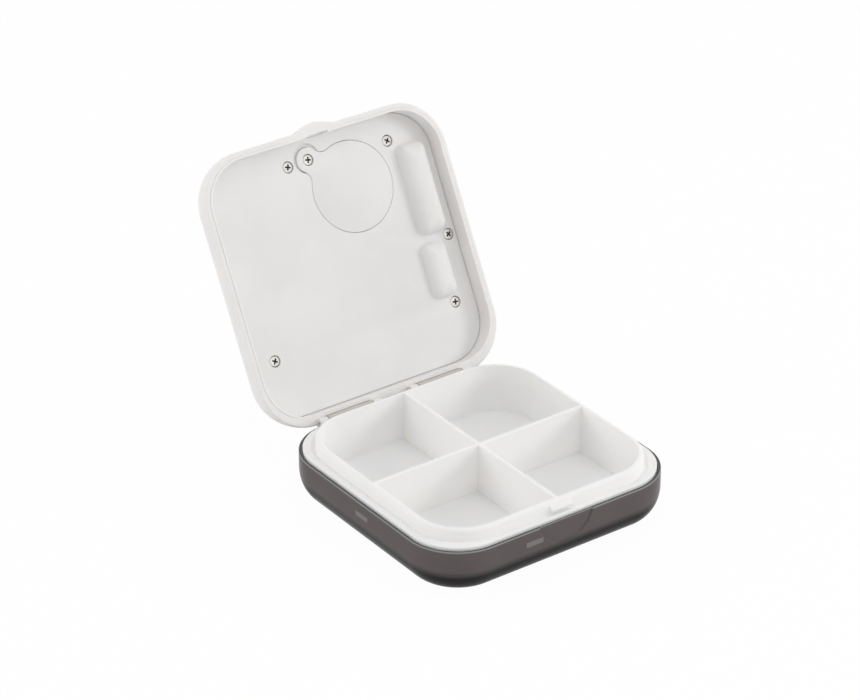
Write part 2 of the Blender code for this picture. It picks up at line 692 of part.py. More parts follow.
def latch_nub():
    """The nub at the front that the lid's slot snaps over."""
    wall_face = -TRAY_WELL_LENGTH / 2 - TRAY_WALL
    half = LATCH_NUB_WIDTH / 2
    bottom = TRAY_LIP_Z + LATCH_NUB_LIFT
    top = bottom + LATCH_NUB_HEIGHT
    tip = wall_face - LATCH_NUB_REACH
    root = wall_face + TRAY_WALL / 2
    profile = [
        (root, bottom),
        (tip + LATCH_NUB_BEVEL, bottom),
        (tip, bottom + LATCH_NUB_BEVEL),
        (tip, top - LATCH_NUB_REACH / 2),
        (tip + LATCH_NUB_BEVEL, top - LATCH_NUB_BEVEL),
        (wall_face, top),
        (root, top),
    ]
    return along_x("latch_nub_shape", profile, -half, half)


def tray_hooks():
    """The hooks that reach from the tray's wall into the shell's pockets."""
    hooks = []
    gap = SEAT_GAP
    for number, (place, facing) in enumerate(clip_places(), 1):
        well_half = TRAY_WELL_WIDTH / 2 if facing[0] else TRAY_WELL_LENGTH / 2
        shell_half = BOX_WIDTH / 2 if facing[0] else BOX_LENGTH / 2
        hooks.append(block_at_clip(
            f"tray_hook_shape_{number}", place, facing, CLIP_POCKET_WIDTH - 2 * gap,
            shell_half - well_half - TRAY_WALL / 2, -CLIP_SKIN - gap,
            CLIP_POCKET_BOTTOM + gap, CLIP_POCKET_BOTTOM + CLIP_POCKET_HEIGHT - gap,
        ))
    return hooks


def hinge_barrel(side, middle):
    """A barrel with its arm, which grows out of the tray's flange."""
    left = middle - HINGE_SLOT_LENGTH / 2 + BARREL_TURNING_GAP
    axis = (HINGE_Y, HINGE_Z)
    meets = math.pi - math.asin(BARREL_ARM_TOP / BARREL_RADIUS)
    profile = arc(axis, BARREL_RADIUS, -math.pi / 2, meets, ROUND_STEPS)
    profile.append((HINGE_Y - BARREL_ARM_REACH, HINGE_Z + BARREL_ARM_TOP))
    profile.append((HINGE_Y - BARREL_ARM_REACH, HINGE_Z - BARREL_RADIUS))
    return along_x(f"hinge_barrel_shape_{side}", profile, left, left + BARREL_LENGTH)


def pin_bore(name, middle, radius):
    """Cutter for a pin's bore, through both lugs of a hinge and the barrel between them."""
    reach = HINGE_SLOT_LENGTH / 2 + LUG_WIDTH + OVERRUN
    return along_x(name, circle((HINGE_Y, HINGE_Z), radius), middle - reach, middle + reach)


def lug_rooms(side, middle):
    """Cutters that clear the tray's flange where the lid's lugs turn."""
    radius = BARREL_RADIUS + BARREL_TURNING_GAP
    return [
        along_x(
            f"lug_room_cutter_{side}_{number}", circle((HINGE_Y, HINGE_Z), radius),
            low - BARREL_TURNING_GAP, high + BARREL_TURNING_GAP,
        )
        for number, (low, high) in enumerate(lug_spans(middle), 1)
    ]


def make_pill_tray(finish):
    tray = paint(loft("pill_tray", tray_rings()), finish)
    join(tray, *dividers(), latch_nub(), *tray_hooks())
    for side, middle in hinge_sides():
        cut(tray, *lug_rooms(side, middle))
        join(tray, hinge_barrel(side, middle))
        cut(tray, pin_bore(f"tray_bore_cutter_{side}", middle, PIN_RADIUS + PIN_RUNNING_GAP))
    return tray


def make_hinge_pins(finish):
    """The two steel pins that the lid turns on."""
    reach = HINGE_SLOT_LENGTH / 2 + LUG_WIDTH - PIN_END_INSET
    return [
        paint(
            along_x(
                f"hinge_pin_{side}", circle((HINGE_Y, HINGE_Z), PIN_RADIUS), middle - reach, middle + reach
            ),
            finish,
        )
        for side, middle in hinge_sides()
    ]


# Lid cover

def lid_outline(inset):
    """The lid's plan, drawn in by this much."""
    return rounded_rectangle(
        (0.0, from_hinge(LID_CENTRE_FROM_HINGE)), BOX_WIDTH / 2 - inset, BOX_LENGTH / 2 - inset,
        LID_CORNER_RADIUS - inset,
    )


def lid_inner_outline(inset):
    """The plan of what lies inside the lid's wall, which is thicker along the hinge."""
    half_length = (BOX_LENGTH - LID_REAR_THICKENING) / 2
    return rounded_rectangle(
        (0.0, from_hinge(BOX_LENGTH - half_length)), BOX_WIDTH / 2 - inset, half_length - inset,
        LID_CORNER_RADIUS - inset,
    )


def fillet_inset(depth, radius):
    """How far the lid's round edge is drawn in at this depth, for the outside or the inside."""
    start = LID_DEPTH - LID_FILLET
    rise = min(max(depth - start, 0.0), radius)
    return LID_FILLET - math.sqrt(radius * radius - rise * rise)


def fillet_depth(inset, radius):
    """The depth at which the lid's round edge is drawn in by this much."""
    run = max(LID_FILLET - inset, 0.0)
    start = LID_DEPTH - LID_FILLET
    return start + math.sqrt(max(radius * radius - run * run, 0.0))


def lid_cover_rings():
    """Inside from the ceiling down to the rim, over the lip, and up the outside."""
    inner_radius = LID_FILLET - LID_WALL
    seat_depth = PANEL_BACK_DEPTH + SEAT_GAP
    rings = []
    seat_rise = math.asin(min((seat_depth - LID_DEPTH + LID_FILLET) / inner_radius, 1.0))
    for step in range(FILLET_STEPS + 1):
        turn = math.pi / 2 + (seat_rise - math.pi / 2) * step / FILLET_STEPS
        inset = LID_FILLET - inner_radius * math.cos(turn)
        depth = LID_DEPTH - LID_FILLET + inner_radius * math.sin(turn)
        rings.append((lid_inner_outline(inset), at_depth(depth)))
    rings += [
        (lid_inner_outline(LID_RIM_WIDTH), at_depth(seat_depth)),
        (lid_inner_outline(LID_RIM_WIDTH), at_depth(-LID_LIP_RISE)),
        (lid_inner_outline(LID_RIM_WIDTH - LID_LIP_WIDTH), at_depth(-LID_LIP_RISE)),
        (lid_inner_outline(LID_RIM_WIDTH - LID_LIP_WIDTH - LID_LIP_RISE), at_depth(0.0)),
        (lid_outline(LID_RIM_ROUNDING), at_depth(0.0)),
        (lid_outline(0.0), at_depth(LID_RIM_ROUNDING)),
    ]
    for step in range(2 * FILLET_STEPS + 1):
        turn = math.pi / 2 * step / (2 * FILLET_STEPS)
        inset = LID_FILLET * (1 - math.cos(turn))
        rings.append((lid_outline(inset), at_depth(LID_DEPTH - LID_FILLET + LID_FILLET * math.sin(turn))))
    return rings


def lip_end_cutter():
    """Cutter that leaves the lip off along the hinge side."""
    reach = BOX_WIDTH / 2
    return box(
        "lip_end_cutter", (-reach, from_hinge(LID_LIP_REAR_END), at_depth(-LID_LIP_RISE - OVERRUN)),
        (reach, from_hinge(-OVERRUN), at_depth(0.0)),
    )


def thumb_tab():
    """The bell-shaped tab in the middle of the front edge, running out up the wall."""
    half = THUMB_TAB_WIDTH / 2
    front = from_hinge(BOX_LENGTH)
    steps = 2 * CORNER_STEPS
    rings = []
    for level in range(FILLET_STEPS + 1):
        rise_share = level / FILLET_STEPS
        reach = THUMB_TAB_REACH * math.cos(math.pi / 2 * rise_share)
        depth = THUMB_TAB_DEPTH * rise_share + LID_RIM_ROUNDING
        sunk = fillet_inset(depth, LID_FILLET) + LID_RIM_WIDTH / 4
        outline = []
        for step in range(steps + 1):
            across_share = 2 * step / steps - 1
            bell_share = (1 + math.cos(math.pi * across_share)) / 2
            outline.append((half * across_share, front + sunk - (reach + sunk) * bell_share))
        outline.append((half, front + LID_RIM_WIDTH / 2 + sunk))
        outline.append((-half, front + LID_RIM_WIDTH / 2 + sunk))
        rings.append((outline, at_depth(depth)))
    return loft("thumb_tab_shape", rings)


def latch_slot():
    """Cutter for the slot in the front wall, over the tray's nub."""
    nub_tip = -TRAY_WELL_LENGTH / 2 - TRAY_WALL - LATCH_NUB_REACH
    half = LATCH_NUB_WIDTH / 2 + LATCH_SLOT_GAP
    inside = from_hinge(BOX_LENGTH) + LID_RIM_WIDTH + OVERRUN
    return box(
        "latch_slot_cutter", (-half, nub_tip - LATCH_SLOT_GAP, at_depth(-LID_LIP_RISE - OVERRUN)),
        (half, inside, at_depth(LATCH_POCKET_DEPTH)),
    )


def hinge_slots():
    """Cutters for the slots that the tray's barrels lie in."""
    radius = BARREL_RADIUS + BARREL_TURNING_GAP
    reach = HINGE_SLOT_LENGTH / 2
    profile = circle((HINGE_Y, HINGE_Z), radius)
    return [
        along_x(f"hinge_slot_cutter_{side}", profile, middle - reach, middle + reach)
        for side, middle in hinge_sides()
    ]


def lid_lugs():
    """The lugs at both ends of each slot, which turn on the pins."""
    axis = (HINGE_Y, HINGE_Z)
    lugs = []
    for side, middle in hinge_sides():
        for number, (low, high) in enumerate(lug_spans(middle), 1):
            profile = arc(axis, BARREL_RADIUS, math.pi, 2.5 * math.pi, ROUND_STEPS)
            profile.append((HINGE_Y - BARREL_RADIUS, HINGE_Z + BARREL_RADIUS))
            lugs.append(along_x(f"lid_lug_shape_{side}_{number}", profile, low, high))
    return lugs


def window_outline(outset):
    """Plan of the display's window, let out by this much."""
    half_x = DISPLAY_WIDTH / 2 + DISPLAY_OPENING_MARGIN + outset
    half_y = DISPLAY_LENGTH / 2 + DISPLAY_OPENING_MARGIN + outset
    centre = lid_point((0.0, DISPLAY_FROM_HINGE))
    return rounded_rectangle(centre, half_x, half_y, WINDOW_CORNER_RADIUS + outset, FILLET_STEPS)


def display_cutters():
    """The opening over the display and the recess that its window lies in."""
    recess_depth = LID_DEPTH - WINDOW_THICKNESS - SEAT_GAP
    opening = prism(
        "display_opening_cutter", window_outline(-WINDOW_RIM), at_depth(CEILING_DEPTH - OVERRUN),
        at_depth(LID_DEPTH + OVERRUN),
    )
    recess = prism(
        "window_recess_cutter", window_outline(WINDOW_SIDE_GAP), at_depth(recess_depth),
        at_depth(LID_DEPTH + OVERRUN),
    )
    return opening, recess


def button_places():
    """The three buttons: name and place."""
    return (
        ("left", (-BUTTON_SPACING, BUTTON_FROM_HINGE)),
        ("middle", (0.0, BUTTON_FROM_HINGE)),
        ("right", (BUTTON_SPACING, BUTTON_FROM_HINGE)),
    )


def button_holes():
    return [
        prism(
            f"button_hole_cutter_{name}", circle(lid_point(place), BUTTON_RADIUS + BUTTON_SIDE_GAP),
            at_depth(CEILING_DEPTH - OVERRUN), at_depth(LID_DEPTH + OVERRUN),
        )
        for name, place in button_places()
    ]


def boss_limit(depth):
    """How far across the lid a boss may reach, clear of the lid's rounding at this depth."""
    return BOX_WIDTH / 2 - fillet_inset(depth, LID_FILLET - LID_WALL) - SEAT_GAP


def boss_outline(place, radius, depth):
    """A boss's plan, cut flat where it would reach the lid's rounding at this depth."""
    limit = boss_limit(depth)
    return [(max(min(x, limit), -limit), y) for x, y in circle(lid_point(place), radius)]


def cover_bosses():
    """The posts that the panel's screws bite into, each as tall as the lid is deep there."""
    radius = SCREW_SHANK_RADIUS + SCREW_BOSS_WALL
    middle_of_wall = LID_FILLET - LID_WALL / 2
    bosses = []
    for number, place in enumerate(PANEL_SCREW_PLACES, 1):
        edge = min(abs(place[0]) + radius, boss_limit(COVER_BOSS_START_DEPTH))
        front_edge = place[1] + radius
        inset = min(BOX_WIDTH / 2 - edge, BOX_LENGTH - front_edge)
        end = min(fillet_depth(inset, middle_of_wall), CEILING_DEPTH + OVERRUN / 2)
        outline = boss_outline(place, radius, COVER_BOSS_START_DEPTH)
        bosses.append(prism(
            f"cover_boss_shape_{number}", outline, at_depth(COVER_BOSS_START_DEPTH), at_depth(end)
        ))
    return bosses


def cover_screw_bores():
    """Cutters for the screws' bores in the posts."""
    return [
        prism(
            f"cover_bore_cutter_{number}", circle(lid_point(place), SCREW_SHANK_RADIUS + SCREW_THREAD_GAP),
            at_depth(COVER_BOSS_START_DEPTH - OVERRUN), at_depth(SCREW_TIP_DEPTH + SCREW_TIP_GAP),
        )
        for number, place in enumerate(PANEL_SCREW_PLACES, 1)
    ]


def make_lid_cover(finish):
    cover = paint(loft("lid_cover", lid_cover_rings()), finish)
    cut(cover, lip_end_cutter())
    join(cover, thumb_tab())
    cut(cover, *hinge_slots(), latch_slot())
    join(cover, *lid_lugs())
    for side, middle in hinge_sides():
        cut(cover, pin_bore(f"lid_bore_cutter_{side}", middle, PIN_RADIUS + PIN_RUNNING_GAP))
    cut(cover, *display_cutters(), *button_holes())
    join(cover, *cover_bosses())
    cut(cover, *cover_screw_bores())
    return cover


def make_display_window(finish):
    """The clear window, flush with the lid's outside."""
    return paint(
        prism(
            "display_window", window_outline(0.0), at_depth(LID_DEPTH - WINDOW_THICKNESS), at_depth(LID_DEPTH)
        ),
        finish,
    )


# Lid inner panel

def panel_outline(inset):
    """The panel's plan, drawn in by this much."""
    return lid_inner_outline(LID_RIM_WIDTH + PANEL_GAP + inset)


def dome_rings(centre, half_x, half_y, corner_radius, height, start_depth):
    """A bar with a half-elliptic section, from its foot in the panel to its crest."""
    foot = rounded_rectangle(centre, half_x, half_y, corner_radius, FILLET_STEPS)
    rings = [(foot, at_depth(start_depth))]
    for step in range(FILLET_STEPS + 1):
        turn = math.radians(DOME_CREST_DEGREES) * step / FILLET_STEPS
        inset = half_x * (1 - math.cos(turn))
        outline = rounded_rectangle(
            centre, half_x - inset, half_y - inset, corner_radius - inset, FILLET_STEPS
        )
        rings.append((outline, at_depth(PANEL_DEPTH - height * math.sin(turn))))
    return rings[::-1]


def dome(name, x, distance, width, length, height, wall, start_depth):
    """A dome's outside, or its hollow where a wall is given."""
    return loft(name, dome_rings(
        lid_point((x, distance)), width / 2 - wall, length / 2 - wall, DOME_CORNER_RADIUS - wall,
        height - wall, start_depth,
    ))


def motor_dome(name, wall, start_depth):
    return dome(
        name, MOTOR_DOME_X, MOTOR_DOME_FROM_HINGE, MOTOR_DOME_WIDTH, MOTOR_DOME_LENGTH,
        MOTOR_DOME_HEIGHT, wall, start_depth,
    )


def buzzer_dome(name, wall, start_depth):
    return dome(
        name, BUZZER_DOME_X, BUZZER_DOME_FROM_HINGE, BUZZER_DOME_WIDTH, BUZZER_DOME_LENGTH,
        BUZZER_DOME_HEIGHT, wall, start_depth,
    )


def door_outline(outset):
    """The battery door's plan: a disc and a screw ear, blended by two hollow fillets."""
    disc = Vector((BATTERY_X, BATTERY_FROM_HINGE))
    ear = Vector((DOOR_SCREW_X, DOOR_SCREW_FROM_HINGE))
    to_ear = ear - disc
    disc_side = DOOR_RADIUS + DOOR_EAR_FILLET
    ear_side = DOOR_EAR_RADIUS + DOOR_EAR_FILLET
    apart = to_ear.length
    cosine = (disc_side ** 2 + apart ** 2 - ear_side ** 2) / (2 * disc_side * apart)
    opening = math.acos(cosine)
    heading = math.atan2(to_ear.y, to_ear.x)
    fillets = [disc + disc_side * Vector((math.cos(turn), math.sin(turn)))
               for turn in (heading - opening, heading + opening)]
    ear_ends = [math.atan2((fillet - ear).y, (fillet - ear).x) for fillet in fillets]
    while ear_ends[1] < ear_ends[0]:
        ear_ends[1] += 2 * math.pi
    fillet_radius = DOOR_EAR_FILLET - outset
    to_disc = [math.atan2((disc - fillet).y, (disc - fillet).x) for fillet in fillets]
    to_small = [math.atan2((ear - fillet).y, (ear - fillet).x) for fillet in fillets]
    while to_small[0] > to_disc[0]:
        to_small[0] -= 2 * math.pi
    while to_small[1] < to_disc[1]:
        to_small[1] += 2 * math.pi
    far_turn = heading - opening + 2 * math.pi
    points = arc(disc, DOOR_RADIUS + outset, heading + opening, far_turn, 2 * ROUND_STEPS)
    points += arc(fillets[0], fillet_radius, to_disc[0], to_small[0], FILLET_STEPS)[1:-1]
    points += arc(ear, DOOR_EAR_RADIUS + outset, ear_ends[0], ear_ends[1], ROUND_STEPS)
    points += arc(fillets[1], fillet_radius, to_small[1], to_disc[1], FILLET_STEPS)[1:-1]
    return [lid_point(point) for point in points]


def battery_well():
    """The well behind the panel that the door and the coin cell lie in."""
    well = prism(
        "battery_well_shape", door_outline(DOOR_GAP + DOOR_WELL_WALL),
        at_depth(PANEL_BACK_DEPTH - PANEL_THICKNESS / 2), at_depth(DOOR_LEDGE_END_DEPTH),
    )
    ring = prism(
        "cell_ring_shape",
        circle(lid_point((BATTERY_X, BATTERY_FROM_HINGE)), CELL_RADIUS + CELL_SIDE_GAP + CELL_RING_WALL,
               2 * ROUND_STEPS),
        at_depth(DOOR_LEDGE_END_DEPTH - OVERRUN), at_depth(CELL_END_DEPTH),
    )
    boss = prism(
        "door_boss_shape",
        circle(lid_point((DOOR_SCREW_X, DOOR_SCREW_FROM_HINGE)), SCREW_SHANK_RADIUS + SCREW_BOSS_WALL),
        at_depth(DOOR_LEDGE_END_DEPTH - OVERRUN), at_depth(SCREW_TIP_DEPTH),
    )
    return well, ring, boss


def battery_well_cutters():
    """Cutters for the door's opening, the cell, the door screw and the positive contact."""
    centre = lid_point((BATTERY_X, BATTERY_FROM_HINGE))
    opening = prism(
        "door_opening_cutter", door_outline(DOOR_GAP), at_depth(PANEL_DEPTH - OVERRUN),
        at_depth(DOOR_LEDGE_START_DEPTH),
    )
    cell_hole = prism(
        "cell_hole_cutter", circle(centre, CELL_RADIUS + CELL_SIDE_GAP, 2 * ROUND_STEPS),
        at_depth(PANEL_BACK_DEPTH), at_depth(CELL_END_DEPTH + OVERRUN),
    )
    screw_bore = prism(
        "door_bore_cutter",
        circle(lid_point((DOOR_SCREW_X, DOOR_SCREW_FROM_HINGE)), SCREW_SHANK_RADIUS + SCREW_THREAD_GAP),
        at_depth(PANEL_BACK_DEPTH), at_depth(SCREW_TIP_DEPTH + OVERRUN),
    )
    gap_half = CONTACT_WIDTH / 2 + SEAT_GAP
    outer = centre[0] - CELL_RADIUS - CELL_SIDE_GAP - CELL_RING_WALL - OVERRUN
    contact_gap = box(
        "contact_gap_cutter", (outer, centre[1] - gap_half, at_depth(DOOR_LEDGE_END_DEPTH)),
        (centre[0] - CELL_RADIUS / 2, centre[1] + gap_half, at_depth(CELL_END_DEPTH + OVERRUN)),
    )
    notch_place = (
        DOOR_SCREW_X + PRY_NOTCH_SHIFT_X, DOOR_SCREW_FROM_HINGE + PRY_NOTCH_SHIFT_FROM_HINGE
    )
    notch = prism(
        "pry_notch_cutter", circle(lid_point(notch_place), PRY_NOTCH_RADIUS),
        at_depth(PANEL_DEPTH - OVERRUN), at_depth(PANEL_DEPTH + PRY_NOTCH_DEPTH),
    )
    return opening, cell_hole, screw_bore, contact_gap, notch


def seat_bosses():
    """Thicker spots behind the panel under each screw's head."""
    radius = SCREW_HEAD_RADIUS + SCREW_HEAD_SIDE_GAP + SCREW_BOSS_WALL / 2
    return [
        prism(
            f"seat_boss_shape_{number}", boss_outline(place, radius, SEAT_BOSS_END_DEPTH),
            at_depth(PANEL_BACK_DEPTH - PANEL_THICKNESS / 2), at_depth(SEAT_BOSS_END_DEPTH),
        )
        for number, place in enumerate(PANEL_SCREW_PLACES, 1)
    ]


def screw_seat_cutters(name, place, through_depth):
    """Cutters for a sunk screw head and for its shank."""
    centre = lid_point(place)
    head = prism(
        f"{name}_head_cutter", circle(centre, SCREW_HEAD_RADIUS + SCREW_HEAD_SIDE_GAP),
        at_depth(PANEL_DEPTH - OVERRUN), at_depth(SCREW_SEAT_DEPTH),
    )
    shank = prism(
        f"{name}_shank_cutter", circle(centre, SCREW_SHANK_RADIUS + SCREW_SHANK_GAP),
        at_depth(PANEL_DEPTH), at_depth(through_depth),
    )
    return head, shank


def make_lid_inner_panel(finish):
    front = at_depth(PANEL_DEPTH)
    back = at_depth(PANEL_BACK_DEPTH)
    panel = paint(prism("lid_inner_panel", panel_outline(0.0), front, back), finish)
    foot = PANEL_DEPTH + PANEL_THICKNESS / 2
    join(panel, motor_dome("motor_dome_shape", 0.0, foot), buzzer_dome("buzzer_dome_shape", 0.0, foot))
    join(panel, *battery_well(), *seat_bosses())
    hollow_start = PANEL_BACK_DEPTH + OVERRUN
    cut(panel, motor_dome("motor_dome_cutter", DOME_WALL, hollow_start))
    cut(panel, buzzer_dome("buzzer_dome_cutter", DOME_WALL, hollow_start))
    cut(panel, *battery_well_cutters())
    for number, place in enumerate(PANEL_SCREW_PLACES, 1):
        cut(panel, *screw_seat_cutters(f"panel_screw_{number}", place, SEAT_BOSS_END_DEPTH + OVERRUN))
    return panel


def make_battery_door(finish):
    """The flush cover over the coin cell, held by the screw in its ear."""
    door = paint(
        prism("battery_door", door_outline(0.0), at_depth(PANEL_DEPTH), at_depth(PANEL_BACK_DEPTH)), finish
    )
    place = (DOOR_SCREW_X, DOOR_SCREW_FROM_HINGE)
    cut(door, *screw_seat_cutters("battery_door", place, PANEL_BACK_DEPTH + OVERRUN))
    return door


# Screws

def make_screw(name, place, finish):
    """A small cross-recessed screw, head towards the inside of the lid."""
    centre = lid_point(place)
    head_top = PANEL_DEPTH + SCREW_HEAD_SINK
    screw = turned(name, centre, [
        (SCREW_HEAD_RADIUS - SCREW_HEAD_ROUNDING, at_depth(head_top)),
        (SCREW_HEAD_RADIUS, at_depth(head_top + SCREW_HEAD_ROUNDING)),
        (SCREW_HEAD_RADIUS, at_depth(SCREW_HEAD_BASE_DEPTH)),
        (SCREW_SHANK_RADIUS, at_depth(SCREW_HEAD_BASE_DEPTH)),
        (SCREW_SHANK_RADIUS, at_depth(SCREW_TIP_DEPTH - SCREW_SHANK_RADIUS / 2)),
        (SCREW_SHANK_RADIUS / 2, at_depth(SCREW_TIP_DEPTH)),
    ])
    long_half = SCREW_CROSS_LENGTH / 2
    short_half = SCREW_CROSS_WIDTH / 2
    low = at_depth(head_top - OVERRUN)
    high = at_depth(head_top + SCREW_CROSS_DEPTH)
    across = box(
        f"{name}_cross_cutter_1", (centre[0] - long_half, centre[1] - short_half, low),
        (centre[0] + long_half, centre[1] + short_half, high),
    )
    along = box(
        f"{name}_cross_cutter_2", (centre[0] - short_half, centre[1] - long_half, low),
        (centre[0] + short_half, centre[1] + long_half, high),
    )
    return cut(paint(screw, finish), across, along)


def make_screws(finish):
    make_screw("battery_door_screw", (DOOR_SCREW_X, DOOR_SCREW_FROM_HINGE), finish)
    for number, place in enumerate(PANEL_SCREW_PLACES, 1):
        make_screw(f"panel_screw_{number}", place, finish)


# Coin cell and contacts

def make_coin_cell(finish):
    centre = lid_point((BATTERY_X, BATTERY_FROM_HINGE))
    low = at_depth(CELL_START_DEPTH)
    high = at_depth(CELL_END_DEPTH)
    profile = [
        (CELL_RADIUS - CELL_BEVEL, low),
        (CELL_RADIUS, low + CELL_BEVEL),
        (CELL_RADIUS, high - CELL_BEVEL),
        (CELL_RADIUS - CELL_BEVEL, high),
    ]
    return paint(turned("coin_cell", centre, profile, 2 * ROUND_STEPS), finish)


def make_battery_contacts(finish):
    """A strip with a bump behind the cell, and an angle beside it."""
    x, y = lid_point((BATTERY_X, BATTERY_FROM_HINGE))
    strip_end = CEILING_DEPTH - SEAT_GAP
    strip_start = strip_end - CONTACT_THICKNESS
    half_width = CONTACT_WIDTH / 2
    half_length = NEGATIVE_CONTACT_LENGTH / 2
    negative = box(
        "battery_contact_negative", (x - half_length, y - half_width, at_depth(strip_start)),
        (x + half_length, y + half_width, at_depth(strip_end)),
    )
    bump = turned("contact_bump_shape", (x, y), [
        (NEGATIVE_CONTACT_BUMP_RADIUS / 2, at_depth(CELL_END_DEPTH + BOARD_GAP)),
        (NEGATIVE_CONTACT_BUMP_RADIUS, at_depth(strip_start + CONTACT_THICKNESS / 2)),
    ])
    join(paint(negative, finish), bump)
    inner = x - CELL_RADIUS - SEAT_GAP
    upright_start = at_depth(DOOR_LEDGE_END_DEPTH + SEAT_GAP)
    foot_start = at_depth(CELL_END_DEPTH - CONTACT_THICKNESS)
    profile = [
        (inner, upright_start),
        (inner, at_depth(CELL_END_DEPTH)),
        (inner - POSITIVE_CONTACT_FOOT, at_depth(CELL_END_DEPTH)),
        (inner - POSITIVE_CONTACT_FOOT, foot_start),
        (inner - CONTACT_THICKNESS, foot_start),
        (inner - CONTACT_THICKNESS, upright_start),
    ]
    paint(along_y("battery_contact_positive", profile, y - half_width, y + half_width), finish)


# Circuit board and what is on it

def make_circuit_board(finish):
    middle = BOARD_FRONT_FROM_HINGE - BOARD_LENGTH / 2
    outline = rounded_rectangle(
        lid_point((0.0, middle)), BOARD_WIDTH / 2, BOARD_LENGTH / 2, BOARD_CORNER_RADIUS, FILLET_STEPS
    )
    board = prism("circuit_board", outline, at_depth(BOARD_START_DEPTH), at_depth(BOARD_END_DEPTH))
    return paint(board, finish)


def centred_block(name, place, width, length, start_depth, end_depth):
    """A block round a place in the lid, between two depths."""
    x, y = lid_point(place)
    return box(
        name, (x - width / 2, y - length / 2, at_depth(start_depth)),
        (x + width / 2, y + length / 2, at_depth(end_depth)),
    )


def make_board_parts(black, steel):
    """The controller chip and the clock crystal on the board's inner side."""
    end = CHIP_START_DEPTH + CHIP_THICKNESS
    chip = centred_block(
        "controller_chip", (CHIP_X, CHIP_FROM_HINGE), CHIP_SIZE, CHIP_SIZE, CHIP_START_DEPTH, end
    )
    crystal = centred_block(
        "timing_crystal", (CRYSTAL_X, CHIP_FROM_HINGE), CRYSTAL_WIDTH, CRYSTAL_LENGTH, CHIP_START_DEPTH, end
    )
    paint(chip, black)
    paint(crystal, steel)


def make_lcd_module(finish):
    return paint(
        centred_block(
            "lcd_module", (0.0, DISPLAY_FROM_HINGE), DISPLAY_WIDTH, DISPLAY_LENGTH, DISPLAY_START_DEPTH,
            DISPLAY_END_DEPTH,
        ),
        finish,
    )


def make_lcd_connector_strip(finish):
    """The rubber strip that joins the display to the board, under the display's hinge side."""
    distance = DISPLAY_FROM_HINGE - DISPLAY_LENGTH / 2 + CONNECTOR_STRIP_LENGTH
    return paint(
        centred_block(
            "lcd_connector_strip", (0.0, distance), CONNECTOR_STRIP_WIDTH, CONNECTOR_STRIP_LENGTH,
            BOARD_END_DEPTH + BOARD_GAP, DISPLAY_START_DEPTH - BOARD_GAP,
        ),
        finish,
    )


def make_button(name, place, finish):
    """A button: stem, retaining flange and the cap that stands out of the lid."""
    top = LID_DEPTH + BUTTON_RISE
    button = turned(name, lid_point(place), [
        (BUTTON_STEM_RADIUS, at_depth(BUTTON_STEM_START_DEPTH)),
        (BUTTON_STEM_RADIUS, at_depth(BUTTON_FLANGE_START_DEPTH)),
        (BUTTON_FLANGE_RADIUS, at_depth(BUTTON_FLANGE_START_DEPTH)),
        (BUTTON_FLANGE_RADIUS, at_depth(BUTTON_FLANGE_END_DEPTH)),
        (BUTTON_RADIUS, at_depth(BUTTON_FLANGE_END_DEPTH)),
        (BUTTON_RADIUS, at_depth(top - BUTTON_ROUNDING)),
        (BUTTON_RADIUS - BUTTON_ROUNDING, at_depth(top)),
    ])
    return paint(button, finish)


def make_button_switch(name, place, finish):
    """The switch under a button, on the board's outer side."""
    body_end = SWITCH_PLUNGER_END_DEPTH - SWITCH_PLUNGER_LENGTH
    switch = centred_block(name, place, SWITCH_SIZE, SWITCH_SIZE, BOARD_END_DEPTH + BOARD_GAP, body_end)
    plunger = turned(f"{name}_plunger_shape", lid_point(place), [
        (SWITCH_PLUNGER_RADIUS, at_depth(body_end - SWITCH_PLUNGER_LENGTH / 2)),
        (SWITCH_PLUNGER_RADIUS, at_depth(SWITCH_PLUNGER_END_DEPTH)),
    ])
    return join(paint(switch, finish), plunger)


def make_buttons(white, black):
    for side, place in button_places():
        make_button(f"button_{side}", place, white)
        make_button_switch(f"button_switch_{side}", place, black)


# Vibration motor, buzzer and leads

def make_vibration_motor(finish):
    """A sealed round motor that lies along the long dome."""
    x, y = lid_point((MOTOR_DOME_X, MOTOR_DOME_FROM_HINGE))
    z = at_depth(PANEL_DEPTH - MOTOR_DOME_HEIGHT + DOME_WALL + SEAT_GAP + MOTOR_RADIUS)
    half = MOTOR_LENGTH / 2
    motor = along_y("vibration_motor", circle((x, z), MOTOR_RADIUS), y - half, y + half)
    neck_profile = circle((x, z), MOTOR_NECK_RADIUS)
    neck = along_y("motor_neck_shape", neck_profile, y - half - MOTOR_NECK_LENGTH, y - half + OVERRUN)
    return join(paint(motor, finish), neck)


def make_buzzer(finish):
    """A small block buzzer with its sound hole towards the short dome."""
    top = PANEL_DEPTH - BUZZER_TOP_DROP
    place = (BUZZER_DOME_X, BUZZER_DOME_FROM_HINGE)
    buzzer = centred_block("buzzer", place, BUZZER_WIDTH, BUZZER_LENGTH, top, top + BUZZER_THICKNESS)
    hole = prism(
        "buzzer_hole_cutter", circle(lid_point(place), BUZZER_HOLE_RADIUS), at_depth(top - OVERRUN),
        at_depth(top + BUZZER_HOLE_DEPTH),
    )
    return cut(paint(buzzer, finish), hole)


